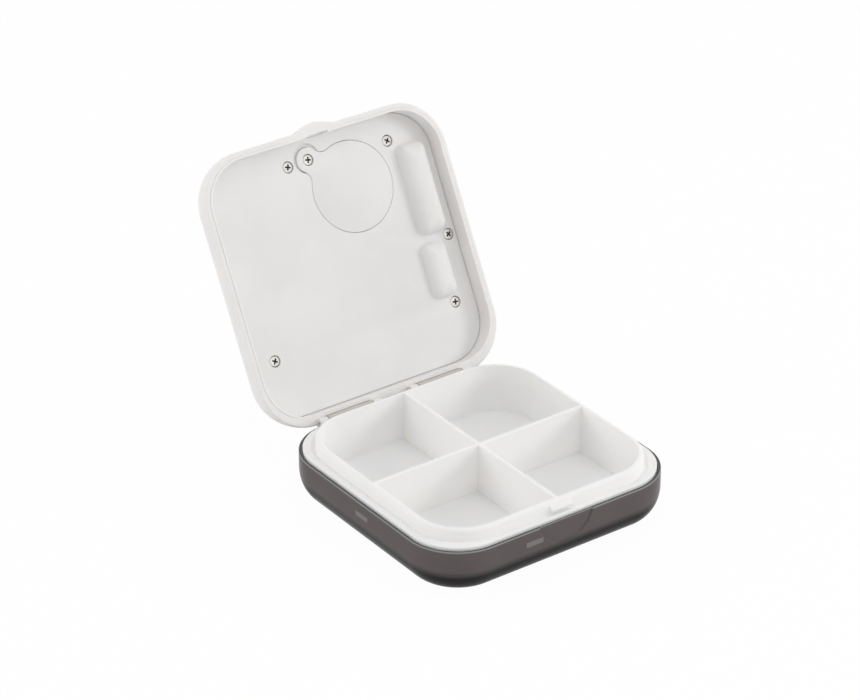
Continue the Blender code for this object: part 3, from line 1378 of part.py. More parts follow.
def make_lead(name, far_x, distance, finish):
    """A flat lead from the board to a piece beside it, with one small step."""
    board_edge = BOARD_WIDTH / 2
    low = at_depth(LEAD_START_DEPTH)
    step = BOARD_START_DEPTH - BOARD_GAP - LEAD_THICKNESS - LEAD_START_DEPTH
    board_end = board_edge - LEAD_BOARD_OVERLAP
    turn_start = board_edge - LEAD_STEP_RUN
    profile = [
        (board_end, low + step),
        (turn_start, low + step),
        (board_edge, low),
        (far_x, low),
        (far_x, low + LEAD_THICKNESS),
        (board_edge, low + LEAD_THICKNESS),
        (turn_start, low + step + LEAD_THICKNESS),
        (board_end, low + step + LEAD_THICKNESS),
    ]
    y = from_hinge(distance)
    return paint(along_y(name, profile, y - LEAD_WIDTH / 2, y + LEAD_WIDTH / 2), finish)


def make_leads(finish):
    motor_end = MOTOR_DOME_X - MOTOR_RADIUS - SEAT_GAP
    buzzer_end = BUZZER_DOME_X - BUZZER_WIDTH / 2 - SEAT_GAP
    motor_distance = MOTOR_DOME_FROM_HINGE - MOTOR_LENGTH / 2 + LEAD_WIDTH / 2
    make_lead("motor_lead", motor_end, min(motor_distance, BOARD_FRONT_FROM_HINGE - LEAD_WIDTH / 2), finish)
    make_lead("buzzer_lead", buzzer_end, BUZZER_DOME_FROM_HINGE, finish)


# Assembly

def clear_scene():
    for thing in list(bpy.data.objects):
        bpy.data.objects.remove(thing, do_unlink=True)


def hang_lid(pieces):
    """Hang the lid's pieces from an empty on the hinge's axis and turn it open."""
    axis = bpy.data.objects.new("lid_hinge_axis", None)
    bpy.context.scene.collection.objects.link(axis)
    axis.location = (0.0, HINGE_Y, HINGE_Z)
    axis.rotation_euler = (-math.radians(LID_OPEN_DEGREES), 0.0, 0.0)
    for piece in pieces:
        piece.location = (0.0, -HINGE_Y, -HINGE_Z)
        piece.parent = axis


def make_base():
    make_base_shell(smoked_plastic())
    make_pill_tray(white_plastic())
    make_hinge_pins(nickel_steel())


def make_lid():
    white = white_plastic()
    steel = nickel_steel()
    black = black_plastic()
    make_lid_cover(white)
    make_lid_inner_panel(white)
    make_battery_door(white)
    make_display_window(clear_plastic())
    make_screws(steel)
    make_coin_cell(steel)
    make_battery_contacts(steel)
    make_circuit_board(board_green())
    make_board_parts(black, steel)
    make_lcd_module(display_glass())
    make_lcd_connector_strip(connector_rubber())
    make_buttons(grey_plastic(), black)
    make_vibration_motor(steel)
    make_buzzer(black)
    make_leads(connector_rubber())


def main():
    clear_scene()
    make_base()
    base_objects = set(bpy.data.objects)
    make_lid()
    hang_lid([thing for thing in bpy.data.objects if thing not in base_objects])


main()
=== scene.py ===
"""Looks of the electronic pill box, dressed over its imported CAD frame.

The lid's pieces are drawn where they lie with the lid closed, as in the CAD source, and turned
open about the hinge's axis when they are finished.  Distances named from_hinge run from the hinge's
axis towards the lid's front edge, and depths in the lid run from its rim plane outwards.
"""
import json
import math

import bmesh
import bpy
from mathutils import Matrix, Vector


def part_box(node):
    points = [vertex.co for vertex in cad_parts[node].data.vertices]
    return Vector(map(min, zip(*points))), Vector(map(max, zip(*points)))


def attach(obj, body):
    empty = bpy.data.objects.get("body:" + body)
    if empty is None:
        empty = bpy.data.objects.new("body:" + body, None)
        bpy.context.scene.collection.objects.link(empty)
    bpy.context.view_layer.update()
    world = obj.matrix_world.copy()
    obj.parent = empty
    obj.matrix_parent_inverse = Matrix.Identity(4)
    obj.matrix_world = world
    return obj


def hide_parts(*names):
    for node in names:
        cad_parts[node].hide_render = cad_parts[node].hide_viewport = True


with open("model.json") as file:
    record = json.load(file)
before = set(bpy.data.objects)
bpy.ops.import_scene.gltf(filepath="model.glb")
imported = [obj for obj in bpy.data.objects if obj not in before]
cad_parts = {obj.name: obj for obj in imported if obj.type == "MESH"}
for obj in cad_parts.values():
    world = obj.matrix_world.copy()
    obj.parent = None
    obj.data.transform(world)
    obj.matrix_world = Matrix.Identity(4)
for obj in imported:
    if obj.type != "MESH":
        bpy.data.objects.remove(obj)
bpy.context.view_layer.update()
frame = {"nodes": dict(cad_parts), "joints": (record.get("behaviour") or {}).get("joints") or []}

# Places read from the frame
HINGE = next(joint for joint in frame["joints"] if joint["name"] == "lid_hinge")
HINGE_Y = HINGE["pos_m"][1]
HINGE_Z = HINGE["pos_m"][2]
LID_OPEN = math.radians(HINGE["range_deg"][1])
BASE_HALF_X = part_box("base_shell")[1].x
BASE_HALF_Y = -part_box("base_shell")[0].y
BASE_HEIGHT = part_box("base_shell")[1].z
TRAY_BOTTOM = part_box("pill_tray")[0].z
TRAY_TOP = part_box("pill_tray")[1].z
LID_HALF_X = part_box("lid_cover")[1].x

# Fineness and small clearances
CORNER_STEPS = 20
ROUND_STEPS = 48
EDGE_STEPS = 4
FILLET_STEPS = 14
OVERRUN = 0.0004
FLUSH_STEP = 0.00001
SEAT_GAP = 0.0003
SHARP_EDGE_DEGREES = 32.0

# Base shell
BASE_CORNER_RADIUS = 0.0148
BASE_BOTTOM_ROUNDING_WIDTH = 0.0056
BASE_BOTTOM_ROUNDING_HEIGHT = 0.0080
BASE_RIM_WIDTH = 0.0008
BASE_RIM_ROUNDING = 0.0003
BASE_WALL = 0.0022
BASE_FLOOR = 0.0017
BASE_INNER_ROUNDING_WIDTH = 0.0032
BASE_INNER_ROUNDING_HEIGHT = 0.0040
TRAY_SEAT_DROP = 0.0016
TRAY_SEAT_Z = BASE_HEIGHT - TRAY_SEAT_DROP
THUMB_SCOOP_RADIUS = 0.0087
THUMB_SCOOP_BOTTOM = 0.0061
THUMB_SCOOP_DEPTH = 0.0004
THUMB_SCOOP_FLARE = 0.00035
CLIP_POCKET_WIDTH = 0.0053
CLIP_POCKET_HEIGHT = 0.0015
CLIP_POCKET_BOTTOM = 0.0086
CLIP_SKIN = 0.0006
CLIP_MARK_DEPTH = 0.00005
FRONT_CLIP_OFFSET = 0.0099
SIDE_CLIP_OFFSET = 0.0013

# Smoked shell: dark over its floor, lighter before the white tray as painted see-through light, a painted
# highlight at its rim's edge and painted shade on its rim's top
SMOKE_DARK_BELOW = 0.0049
SMOKE_LIGHT_ABOVE = 0.0070
SMOKE_EDGE_START_DROP = 0.00038
SMOKE_EDGE_END_DROP = 0.00006
SMOKE_SOFT_STEP = 0.00006
SMOKE_DARK = (0.026, 0.025, 0.027)
SMOKE_LIGHT = (0.134, 0.118, 0.116)
# Painted highlight on the rim's rounded outer edge, and painted shade on the rim's top
SMOKE_EDGE_HIGHLIGHT = (0.29, 0.295, 0.285)
SMOKE_RIM_SHADE = (0.075, 0.075, 0.072)
# Painted see-through light where the white hooks lie behind the skin
SMOKE_HOOK_SEE_THROUGH_LIGHT = (0.23, 0.22, 0.215)
SMOKE_CLOUD = (0.92, 1.08)
SMOKE_CLOUD_SCALE = 90.0
SMOKE_GLOSS = (0.22, 0.30)
SMOKE_GLOSS_SCALE = 500.0
SMOKE_GRAIN = (3000.0, 1.0, 0.000001)
SMOKE_SPECULAR = 0.04

# Plastics: darker and lighter shade, roughness, and the grain's depth in metres
FINE_GRAIN = 0.000004
BUTTON_GRAIN = 0.000006
WHITE_PLASTIC = ((0.855, 0.843, 0.833), (0.885, 0.875, 0.866), 0.42, FINE_GRAIN)
GREY_PLASTIC = ((0.42, 0.43, 0.44), (0.47, 0.48, 0.49), 0.48, BUTTON_GRAIN)
PLASTICS = {
    "tray_plastic_look": ((0.955, 0.945, 0.935), (0.972, 0.963, 0.954), 0.42, FINE_GRAIN),
    "lid_plastic_look": ((0.882, 0.863, 0.851), (0.908, 0.892, 0.882), 0.42, FINE_GRAIN),
    "panel_plastic_look": WHITE_PLASTIC,
    "door_plastic_look": WHITE_PLASTIC,
    # Beige-grey on the white barrels: painted shade
    "barrel_painted_shade_look": ((0.60, 0.565, 0.52), (0.65, 0.615, 0.57), 0.5, FINE_GRAIN),
    "button_plastic_look": GREY_PLASTIC,
    "button_body_look": GREY_PLASTIC,
    "black_plastic_look": ((0.018, 0.018, 0.02), (0.03, 0.03, 0.032), 0.45, BUTTON_GRAIN),
    "board_look": ((0.012, 0.11, 0.045), (0.02, 0.17, 0.07), 0.4, FINE_GRAIN),
    "rubber_look": ((0.05, 0.05, 0.055), (0.09, 0.09, 0.095), 0.75, 0.00001),
}
PLASTIC_IOR = 1.5
PLASTIC_GLOSS_SPREAD = (-0.05, 0.07)
PLASTIC_RIPPLE_SHARE = 3

# Metals: darker and lighter shade, and roughness
METALS = {
    "pin_steel_look": ((0.50, 0.49, 0.47), (0.66, 0.65, 0.63), 0.25),
    "screw_nickel_look": ((0.74, 0.72, 0.68), (0.88, 0.865, 0.83), 0.28),
    # Near-black nickel in the screws' cross recesses: painted shade
    "screw_recess_painted_shade_look": ((0.05, 0.048, 0.045), (0.09, 0.085, 0.08), 0.5),
    "contact_steel_look": ((0.50, 0.48, 0.44), (0.66, 0.64, 0.60), 0.3),
    "cell_can_look": ((0.58, 0.58, 0.57), (0.72, 0.72, 0.71), 0.28),
}
METAL_GLOSS_SPREAD = (-0.06, 0.10)

# Noise, in features per metre: each pair is for the colour and for the gloss
NOISE_DETAIL = 3.0
GRAIN_DETAIL = 2.0
PLASTIC_SCALES = (60.0, 400.0)
PLASTIC_GRAIN_SCALE = 5200.0
PLASTIC_RIPPLE_SCALE = 240.0
METAL_SCALES = (700.0, 2500.0)
METAL_SCRATCH_SCALE = 9000.0
SHADE_STOPS = (0.35, 0.65)

# Light that gets into the white plastics
WHITE_GLOW = 0.4
WHITE_GLOW_RADIUS = (1.0, 0.85, 0.7)
WHITE_GLOW_DEPTH = 0.0008
TRAY_GLOW_DEPTH = 0.002

# Display and window: two shades, two scales, roughness range, and bumps as scale, detail and depth
DISPLAY_SURFACE = (
    ((0.33, 0.37, 0.31), (0.38, 0.42, 0.35)), (90.0, 900.0), (0.16, 0.26), [(2500.0, 1.0, 0.000002)],
)
WINDOW_SURFACE = (
    ((0.93, 0.95, 0.95), (0.98, 0.99, 0.99)), (120.0, 300.0), (0.02, 0.08), [(600.0, 1.0, 0.000001)],
)
WINDOW_IOR = 1.49

# Pill tray
TRAY_FIT = 0.00025
FLANGE_INSET = BASE_RIM_WIDTH + TRAY_FIT
WELL_HALF_X = 0.0330
WELL_HALF_Y = 0.0328
WELL_TAPER = 0.0003
WELL_CORNER_RADIUS = 0.0125
WELL_FLOOR_ROUNDING = 0.0006
TRAY_WALL = 0.0014
TRAY_FLOOR_THICKNESS = 0.0013
TRAY_FLOOR_Z = TRAY_BOTTOM + TRAY_FLOOR_THICKNESS
TRAY_BOTTOM_ROUNDING = 0.0020
TRAY_LIP_RISE = 0.0008
TRAY_LIP_Z = BASE_HEIGHT + TRAY_LIP_RISE
TRAY_LIP_ROUNDING = 0.0004
TRAY_LIP_UNDER_ROUNDING = TRAY_LIP_ROUNDING / 4
TRAY_GROOVE_WIDTH = 0.0007
TRAY_GROOVE_DEPTH = 0.0005
TRAY_GROOVE_LAND = 0.00025
TRAY_GROOVE_ROUNDING = TRAY_GROOVE_DEPTH / 3
TRAY_WALL_OUTER_ROUNDING = 0.0010
TRAY_WALL_INNER_ROUNDING = 0.00015
DIVIDER_THICKNESS = 0.0011
DIVIDER_DRAFT = 0.0002
DIVIDER_ROUNDING = 0.0002
DIVIDER_DROP = 0.0001
LATCH_NUB_WIDTH = 0.0064
LATCH_NUB_REACH = 0.0013
LATCH_NUB_LIFT = 0.0007
LATCH_NUB_HEIGHT = 0.0015
LATCH_NUB_BEVEL = 0.0004

# Hinge
BARREL_RADIUS = 0.00165
BARREL_ARM_REACH = 0.0026
BARREL_ARM_TOP = 0.00045
TURNING_GAP = 0.0003
HINGE_SLOT_LENGTH = 0.01463
HINGE_SLOT_OFFSET = 0.01455
BARREL_LENGTH = HINGE_SLOT_LENGTH - 2 * TURNING_GAP
LUG_WIDTH = 0.0024
HINGE_NOTCH_END_GAP = 0.0010
PIN_RADIUS = 0.00075
PIN_BEVEL = 0.00015
PIN_GAP = 0.00006
STOP_LEDGE_WIDTH = 0.0080
STOP_LEDGE_REACH = 0.0020
STOP_LEDGE_DROP = 0.0034

# Lid cover
LID_LENGTH = 0.0746
LID_CORNER_RADIUS = 0.0138
LID_DEPTH = 0.0124
LID_FILLET = 0.01075
LID_WALL = 0.0012
LID_RIM_GAP = 0.0003
LID_RIM_Z = TRAY_LIP_Z + LID_RIM_GAP
LID_RIM_WIDTH = 0.0020
LID_REAR_THICKENING = 0.00085
LID_RIM_ROUNDING = 0.00035
LID_LIP_WIDTH = 0.0006
LID_LIP_RISE = 0.00015
LID_LIP_INNER_ROUNDING = LID_LIP_WIDTH / 3
LID_LIP_OUTER_ROUNDING = LID_LIP_WIDTH / 4
LID_LINE_WIDTH = 0.00015
LID_LINE_DEPTH = 0.0001
LID_LINE_ROUNDING = LID_LINE_WIDTH / 4
LID_LIP_REAR_END = 0.0040
THUMB_TAB_WIDTH = 0.0186
THUMB_TAB_REACH = 0.0016
THUMB_TAB_DEPTH = 0.0050
LATCH_SLOT_GAP = 0.0003
LATCH_POCKET_DEPTH = 0.0035
CEILING_DEPTH = LID_DEPTH - LID_WALL

# Lid inner panel, domes and battery door
PANEL_DEPTH = 0.0049
PANEL_THICKNESS = 0.0010
PANEL_BACK = PANEL_DEPTH + PANEL_THICKNESS
PANEL_GAP = 0.0001
PANEL_EDGE_ROUNDING = 0.0001
DOME_WALL = 0.0010
DOME_CORNER_RADIUS = 0.0027
DOME_FOOT_FLARE = 0.0003
DOME_FLARE_SHARES = (0.4, 0.3)
DOME_CREST_DEGREES = 84.0
MOTOR_DOME = {"x": 0.0289, "from_hinge": 0.05065, "width": 0.0090, "length": 0.0253, "height": 0.0035}
BUZZER_DOME = {"x": 0.0271, "from_hinge": 0.02815, "width": 0.0080, "length": 0.0153, "height": 0.0030}
PANEL_SCREW_PLACES = (
    (-0.0083, 0.0666),
    (0.0233, 0.0654),
    (0.0336, 0.0364),
    (0.02975, 0.0184),
    (-0.0285, 0.0191),
)
BATTERY_PLACE = (0.00907, 0.05662)
DOOR_SCREW_PLACE = (-0.0018, 0.0669)
DOOR_RADIUS = 0.01233
DOOR_EAR_RADIUS = 0.0034
DOOR_EAR_FILLET = 0.0030
DOOR_GAP = 0.00012
DOOR_WELL_WALL = 0.0006
DOOR_LEDGE_THICKNESS = 0.0010
DOOR_EDGE_SHARE = 0.3
PRY_NOTCH_RADIUS = 0.0041
PRY_NOTCH_SHIFT = (-0.0004, 0.0005)
PRY_NOTCH_DEPTH = 0.0007
CELL_HOLE_RADIUS = 0.01035

# Screws
SCREW_HEAD_RADIUS = 0.0014
SCREW_HEAD_HEIGHT = 0.0008
SCREW_HEAD_SINK = 0.0001
SCREW_HEAD_SIDE_GAP = 0.0002
SCREW_HEAD_SEAT_GAP = 0.0001
SCREW_DOME_SHARE = 0.28
SCREW_SHANK_RADIUS = 0.0008
SCREW_SHANK_LENGTH = 0.0028
SCREW_SHANK_GAP = 0.0002
SCREW_CROSS_LENGTH = 0.0018
SCREW_CROSS_WIDTH = 0.00046
SCREW_CROSS_DEPTH = 0.0005
SCREW_CROSS_END_SHARES = (0.4, 0.5)
SCREW_FLAT_NORMAL = 0.97
SCREW_TURN_DEGREES = (12, 20, 38, 55, 8, 30)

# Display and buttons
DISPLAY_FROM_HINGE = 0.0230
DISPLAY_HALF_X = 0.0180
DISPLAY_HALF_Y = 0.0095
WINDOW_MARGIN = 0.0010
WINDOW_RIM = 0.0025
WINDOW_THICKNESS = 0.0006
WINDOW_CORNER_RADIUS = 0.0020
WINDOW_SIDE_GAP = 0.00015
BUTTON_SPACING = 0.0140
BUTTON_FROM_HINGE = 0.0398
BUTTON_RADIUS = 0.0032
BUTTON_SIDE_GAP = 0.0003
BUTTON_RISE = 0.0005
BUTTON_DISH_DEPTH = 0.0002
BUTTON_ROUNDING = 0.0004

# Floor and light, with each lamp's name, place, diameter and power in watts
FLOOR_REACH = 3.0
FLOOR_WHITE = (0.9, 0.9, 0.9, 1.0)
FLOOR_ROUGHNESS = 0.9
FLOOR_GLOW_SHARE = 0.97
STUDIO_WHITE = (1.0, 1.0, 1.0, 1.0)
STUDIO_LIGHT = 0.64
LAMP_TARGET = (0.0, 0.02, 0.03)
LAMPS = (
    ("key_light", (0.78, -0.56, 0.42), 0.40, 2.6),
    ("fill_light", (-0.76, 0.50, 0.45), 0.6, 1.9),
    ("top_light", (0.10, -0.30, 0.90), 0.6, 0.9),
)

# Camera, fitted to the photograph
CAMERA_PLACE = (-0.49498, -0.67381, 0.50988)
CAMERA_RIGHT = (0.81253, -0.58288, -0.00646)
CAMERA_UP = (0.28803, 0.39183, 0.87379)
CAMERA_LENS_MM = 157.5
CAMERA_SENSOR_MM = 36.0


# Outlines: lists of points, anticlockwise

def arc(centre, radius, start, end, steps):
    """Points on an arc from one angle to another, in radians, both ends included."""
    return [
        (
            centre[0] + radius * math.cos(start + (end - start) * step / steps),
            centre[1] + radius * math.sin(start + (end - start) * step / steps),
        )
        for step in range(steps + 1)
    ]


def circle(centre, radius, steps=ROUND_STEPS):
    return arc(centre, radius, 0.0, 2 * math.pi, steps)[:-1]


def rounded_rectangle(centre, half_x, half_y, radius, inset, steps=CORNER_STEPS):
    """A rectangle with round corners, drawn in on every side by an inset."""
    half_x -= inset
    half_y -= inset
    radius = min(max(radius - inset, FLUSH_STEP), half_x, half_y)
    points = []
    for quarter, (side_x, side_y) in enumerate(((1, 1), (-1, 1), (-1, -1), (1, -1))):
        corner = (centre[0] + side_x * (half_x - radius), centre[1] + side_y * (half_y - radius))
        start = quarter * math.pi / 2
        points += arc(corner, radius, start, start + math.pi / 2, steps)
    return points


def anticlockwise(outline):
    area = 0.0
    for (x_one, y_one), (x_two, y_two) in zip(outline, outline[1:] + outline[:1]):
        area += x_one * y_two - x_two * y_one
    return outline if area > 0 else outline[::-1]


def soften(section, radii):
    """A section's points with the corners that have a radius turned into arcs."""
    points = []
    last = len(section) - 1
    for index, (point, radius) in enumerate(zip(section, radii)):
        if radius == 0 or index in (0, last):
            points.append(point)
            continue
        corner = Vector(point)
        back = (Vector(section[index - 1]) - corner).normalized()
        ahead = (Vector(section[index + 1]) - corner).normalized()
        half_angle = back.angle(ahead) / 2
        reach = radius / math.tan(half_angle)
        middle = corner + (back + ahead).normalized() * radius / math.sin(half_angle)
        first = corner + back * reach - middle
        turn = first.angle_signed(corner + ahead * reach - middle)
        for step in range(EDGE_STEPS + 1):
            spoke = first.copy()
            spoke.rotate(Matrix.Rotation(-turn * step / EDGE_STEPS, 2))
            points.append(tuple(middle + spoke))
    return points


def from_hinge(distance):
    return HINGE_Y - distance


def lid_point(place):
    return place[0], from_hinge(place[1])


def at_depth(depth):
    return LID_RIM_Z + depth


# Meshes

def finish_mesh(piece):
    """Smooth shading, with true edges left sharp."""
    piece.data.shade_smooth()
    piece.data.set_sharp_from_angle(angle=math.radians(SHARP_EDGE_DEGREES))
    return piece


def make_object(name, shape):
    bmesh.ops.remove_doubles(shape, verts=shape.verts, dist=FLUSH_STEP / 10)
    mesh = bpy.data.meshes.new(name)
    shape.to_mesh(mesh)
    shape.free()
    piece = bpy.data.objects.new(name, mesh)
    bpy.context.scene.collection.objects.link(piece)
    return finish_mesh(piece)


def skinned(name, layers):
    """A closed solid through layers of equally many points."""
    shape = bmesh.new()
    rows = [[shape.verts.new(point) for point in layer] for layer in layers]
    for near, far in zip(rows, rows[1:]):
        for index in range(len(near)):
            following = (index + 1) % len(near)
            shape.faces.new((near[index], near[following], far[following], far[index]))
    shape.faces.new(rows[0][::-1])
    shape.faces.new(rows[-1])
    return make_object(name, shape)


def loft(name, rings):
    """A solid through rings, each an outline and its height."""
    return skinned(name, [[(x, y, z) for x, y in outline] for outline, z in rings])


def box(name, low, high):
    outline = [(low[0], low[1]), (high[0], low[1]), (high[0], high[1]), (low[0], high[1])]
    return loft(name, [(outline, low[2]), (outline, high[2])])


def lid_loft(name, rings):
    """A solid in the closed lid through rings, each an outline and its depth."""
    return loft(name, [(outline, at_depth(depth)) for outline, depth in rings])


def lid_turned(name, place, profile):
    """A solid turned about a line at this place in the lid, from radii and depths."""
    return lid_loft(name, [(circle(lid_point(place), radius), depth) for radius, depth in profile])


def along_x(name, sections):
    """A solid through outlines in Y and Z, each with its X."""
    return skinned(name, [[(x, y, z) for y, z in anticlockwise(outline)] for outline, x in sections])


def bar(name, section, low, high):
    """A solid along X with one section in Y and Z."""
    return along_x(name, [(section, low), (section, high)])


def hinge_circle(radius):
    return circle((HINGE_Y, HINGE_Z), radius)


def rod(name, radius, low, high):
    """A round rod on the hinge's axis."""
    return bar(name, hinge_circle(radius), low, high)


def along_y(name, sections):
    """A solid through outlines in X and Z, each with its Y."""
    return skinned(name, [[(x, y, z) for x, z in anticlockwise(outline)[::-1]] for outline, y in sections])


def combine(piece, operation, tools):
    """Join tools to a piece or cut them from it, and keep the result as its mesh."""
    for tool in tools:
        step = piece.modifiers.new(tool.name, "BOOLEAN")
        step.operation = operation
        step.object = tool
    bpy.context.view_layer.update()
    evaluated = piece.evaluated_get(bpy.context.evaluated_depsgraph_get())
    mesh = bpy.data.meshes.new_from_object(evaluated)
    piece.modifiers.clear()
    piece.data = mesh
    for tool in tools:
        bpy.data.objects.remove(tool, do_unlink=True)
    return finish_mesh(piece)


def join(piece, *tools):
    return combine(piece, "UNION", tools)


def cut(piece, *tools):
    return combine(piece, "DIFFERENCE", tools)


def open_lid(piece):
    """Turn a lid piece from its closed place to the open rest position."""
    axis = Matrix.Translation((0.0, HINGE_Y, HINGE_Z))
    piece.data.transform(axis @ Matrix.Rotation(-LID_OPEN, 4, "X") @ axis.inverted())


def dress(piece, finish, body, slot, *nodes):
    """Give a finished piece its material and its body, and hide the CAD nodes that it stands for; the slot
    is not used.
    """
    piece.data.materials.clear()
    piece.data.materials.append(finish)
    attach(piece, body)
    if nodes:
        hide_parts(*nodes)


# Materials

def feed(tree, node, inputs):
    """Set a node's inputs, each to a value or to another node's output."""
    for name, source in inputs.items():
        if isinstance(source, bpy.types.NodeSocket):
            tree.links.new(source, node.inputs[name])
        else:
            node.inputs[name].default_value = source


def add_node(tree, kind, output, inputs):
    """One output of a new node with these inputs."""
    node = tree.nodes.new(kind)
    feed(tree, node, inputs)
    return node.outputs[output]


def add_math(tree, operation, one, two):
    node = tree.nodes.new("ShaderNodeMath")
    node.operation = operation
    feed(tree, node, {0: one, 1: two})
    return node.outputs["Value"]


def new_material(name):
    """A material, its node tree, and places in metres for its textures."""
    made = bpy.data.materials.new(name)
    made.use_nodes = True
    return made, made.node_tree, add_node(made.node_tree, "ShaderNodeTexCoord", "Object", {})


def set_shader(made, inputs):
    feed(made.node_tree, made.node_tree.nodes["Principled BSDF"], inputs)


def noise(tree, place, scale, detail=NOISE_DETAIL):
    """Noise over places in metres."""
    return add_node(tree, "ShaderNodeTexNoise", "Fac", {"Vector": place, "Scale": scale, "Detail": detail})


def colour_ramp(tree, factor, stops):
    """A colour that follows the factor through at least two stops, each a position and a colour."""
    ramp = tree.nodes.new("ShaderNodeValToRGB")
    elements = ramp.color_ramp.elements
    for number, (position, colour) in enumerate(stops):
        if number >= len(elements):
            elements.new(1.0)
        elements[number].position = position
        elements[number].color = (*colour, 1.0)
    feed(tree, ramp, {"Fac": factor})
    return ramp.outputs["Color"]


def map_value(tree, value, low, high, from_high=1.0):
    """A value between zero and from_high, moved to a new range."""
    inputs = {"Value": value, "From Max": from_high, "To Min": low, "To Max": high}
    return add_node(tree, "ShaderNodeMapRange", "Result", inputs)


def bump(tree, place, layers):
    """Bump from layers of noise, each with its scale, its detail and its depth in metres."""
    normal = None
    for scale, detail, depth in layers:
        inputs = {"Height": noise(tree, place, scale, detail), "Distance": depth}
        if normal is not None:
            inputs["Normal"] = normal
        normal = add_node(tree, "ShaderNodeBump", "Normal", inputs)
    return normal


def surface(name, shades, scales, gloss, layers):
    """A material with a cloudy colour, uneven gloss and layers of bump."""
    made, tree, place = new_material(name)
    shade_scale, gloss_scale = scales
    set_shader(made, {
        "Base Color": colour_ramp(tree, noise(tree, place, shade_scale), zip(SHADE_STOPS, shades)),
        "Roughness": map_value(tree, noise(tree, place, gloss_scale), *gloss),
        "Normal": bump(tree, place, layers),
    })
    return made


def moulded_plastic(name):
    """Moulded plastic: faint flow marks in its colour, uneven gloss and a fine eroded grain."""
    dark, light, roughness, grain = PLASTICS[name]
    made = surface(
        name, (dark, light), PLASTIC_SCALES, [roughness + change for change in PLASTIC_GLOSS_SPREAD],
        [
            (PLASTIC_GRAIN_SCALE, GRAIN_DETAIL, grain),
            (PLASTIC_RIPPLE_SCALE, GRAIN_DETAIL, grain * PLASTIC_RIPPLE_SHARE),
        ],
    )
    set_shader(made, {"IOR": PLASTIC_IOR})
    return made


def white_plastic(name, depth=WHITE_GLOW_DEPTH):
    """Slightly warm white plastic that light gets into, as deep as this depth."""
    made = moulded_plastic(name)
    set_shader(made, {
        "Subsurface Weight": WHITE_GLOW,
        "Subsurface Radius": WHITE_GLOW_RADIUS,
        "Subsurface Scale": depth,
    })
    return made


def smoked_plastic(name, body):
    """Smoked plastic with a satin skin, its colour following the height as painted see-through light, a
    painted highlight line and painted shade at the rim, and a faint cloud.
    """
    made, tree, place = new_material(name)
    highlight_low = BASE_HEIGHT - SMOKE_EDGE_START_DROP
    highlight_high = BASE_HEIGHT - SMOKE_EDGE_END_DROP
    # Painted see-through light up the height, then a painted highlight band at the rim's outer edge and
    # painted shade on the rim's top
    stops = (
        (SMOKE_DARK_BELOW, SMOKE_DARK),
        (SMOKE_LIGHT_ABOVE, body),
        (highlight_low - SMOKE_SOFT_STEP, body),
        (highlight_low, SMOKE_EDGE_HIGHLIGHT),
        (highlight_high, SMOKE_EDGE_HIGHLIGHT),
        (highlight_high + SMOKE_SOFT_STEP, SMOKE_RIM_SHADE),
    )
    height = add_node(tree, "ShaderNodeSeparateXYZ", "Z", {"Vector": place})
    height_share = map_value(tree, height, 0.0, 1.0, BASE_HEIGHT)
    colour = colour_ramp(tree, height_share, [(z / BASE_HEIGHT, shade) for z, shade in stops])
    cloud = map_value(tree, noise(tree, place, SMOKE_CLOUD_SCALE), *SMOKE_CLOUD)
    set_shader(made, {
        "Base Color": add_node(
            tree, "ShaderNodeHueSaturation", "Color", {"Color": colour, "Value": cloud}
        ),
        "Roughness": map_value(tree, noise(tree, place, SMOKE_GLOSS_SCALE), *SMOKE_GLOSS),
        "Normal": bump(tree, place, [SMOKE_GRAIN]),
        "IOR": PLASTIC_IOR,
        "Specular IOR Level": SMOKE_SPECULAR,
    })
    return made


def brushed_metal(name):
    """Plated metal with fine scratches and a little staining."""
    dark, light, roughness = METALS[name]
    made = surface(
        name, (dark, light), METAL_SCALES, [roughness + change for change in METAL_GLOSS_SPREAD],
        [(METAL_SCRATCH_SCALE, GRAIN_DETAIL, FINE_GRAIN)],
    )
    set_shader(made, {"Metallic": 1.0})
    return made


def display_look():
    """The grey-green display, slightly cloudy."""
    return surface("display_look", *DISPLAY_SURFACE)


def window_look():
    """Clear hard plastic with faint wipe marks."""
    made = surface("window_look", *WINDOW_SURFACE)
    set_shader(made, {"Transmission Weight": 1.0, "IOR": WINDOW_IOR})
    return made


# Base shell

def base_outline(inset):
    return rounded_rectangle((0.0, 0.0), BASE_HALF_X, BASE_HALF_Y, BASE_CORNER_RADIUS, inset)


def rounded_foot(inset, z, width, height):
    """A quarter ellipse in inset and height, from the flat bottom up to the wall."""
    turns = [math.pi / 2 * step / FILLET_STEPS for step in range(FILLET_STEPS + 1)]
    return [(inset + width * (1 - math.sin(turn)), z + height * (1 - math.cos(turn))) for turn in turns]


def base_section():
    """The shell's section: outside from the bottom up, over the rim, down to the inner floor."""
    outside = rounded_foot(0.0, 0.0, BASE_BOTTOM_ROUNDING_WIDTH, BASE_BOTTOM_ROUNDING_HEIGHT)
    inside = rounded_foot(
        BASE_WALL, BASE_FLOOR, BASE_INNER_ROUNDING_WIDTH, BASE_INNER_ROUNDING_HEIGHT
    )
    rim = soften(
        [
            outside[-1],
            (0.0, BASE_HEIGHT),
            (BASE_RIM_WIDTH, BASE_HEIGHT),
            (BASE_RIM_WIDTH, TRAY_SEAT_Z),
            (BASE_WALL, TRAY_SEAT_Z),
            inside[-1],
        ],
        [0, BASE_RIM_ROUNDING, BASE_RIM_ROUNDING, BASE_RIM_ROUNDING / 2, BASE_RIM_ROUNDING / 2, 0],
    )
    return outside[:-1] + rim + inside[-2::-1]


def clip_places():
    """The four clips: the middle of each on the wall's outside, and the way it faces."""
    return (
        ((-FRONT_CLIP_OFFSET, -BASE_HALF_Y), (0, -1)),
        ((FRONT_CLIP_OFFSET, BASE_HALF_Y), (0, 1)),
        ((-BASE_HALF_X, -SIDE_CLIP_OFFSET), (-1, 0)),
        ((BASE_HALF_X, -SIDE_CLIP_OFFSET), (1, 0)),
    )


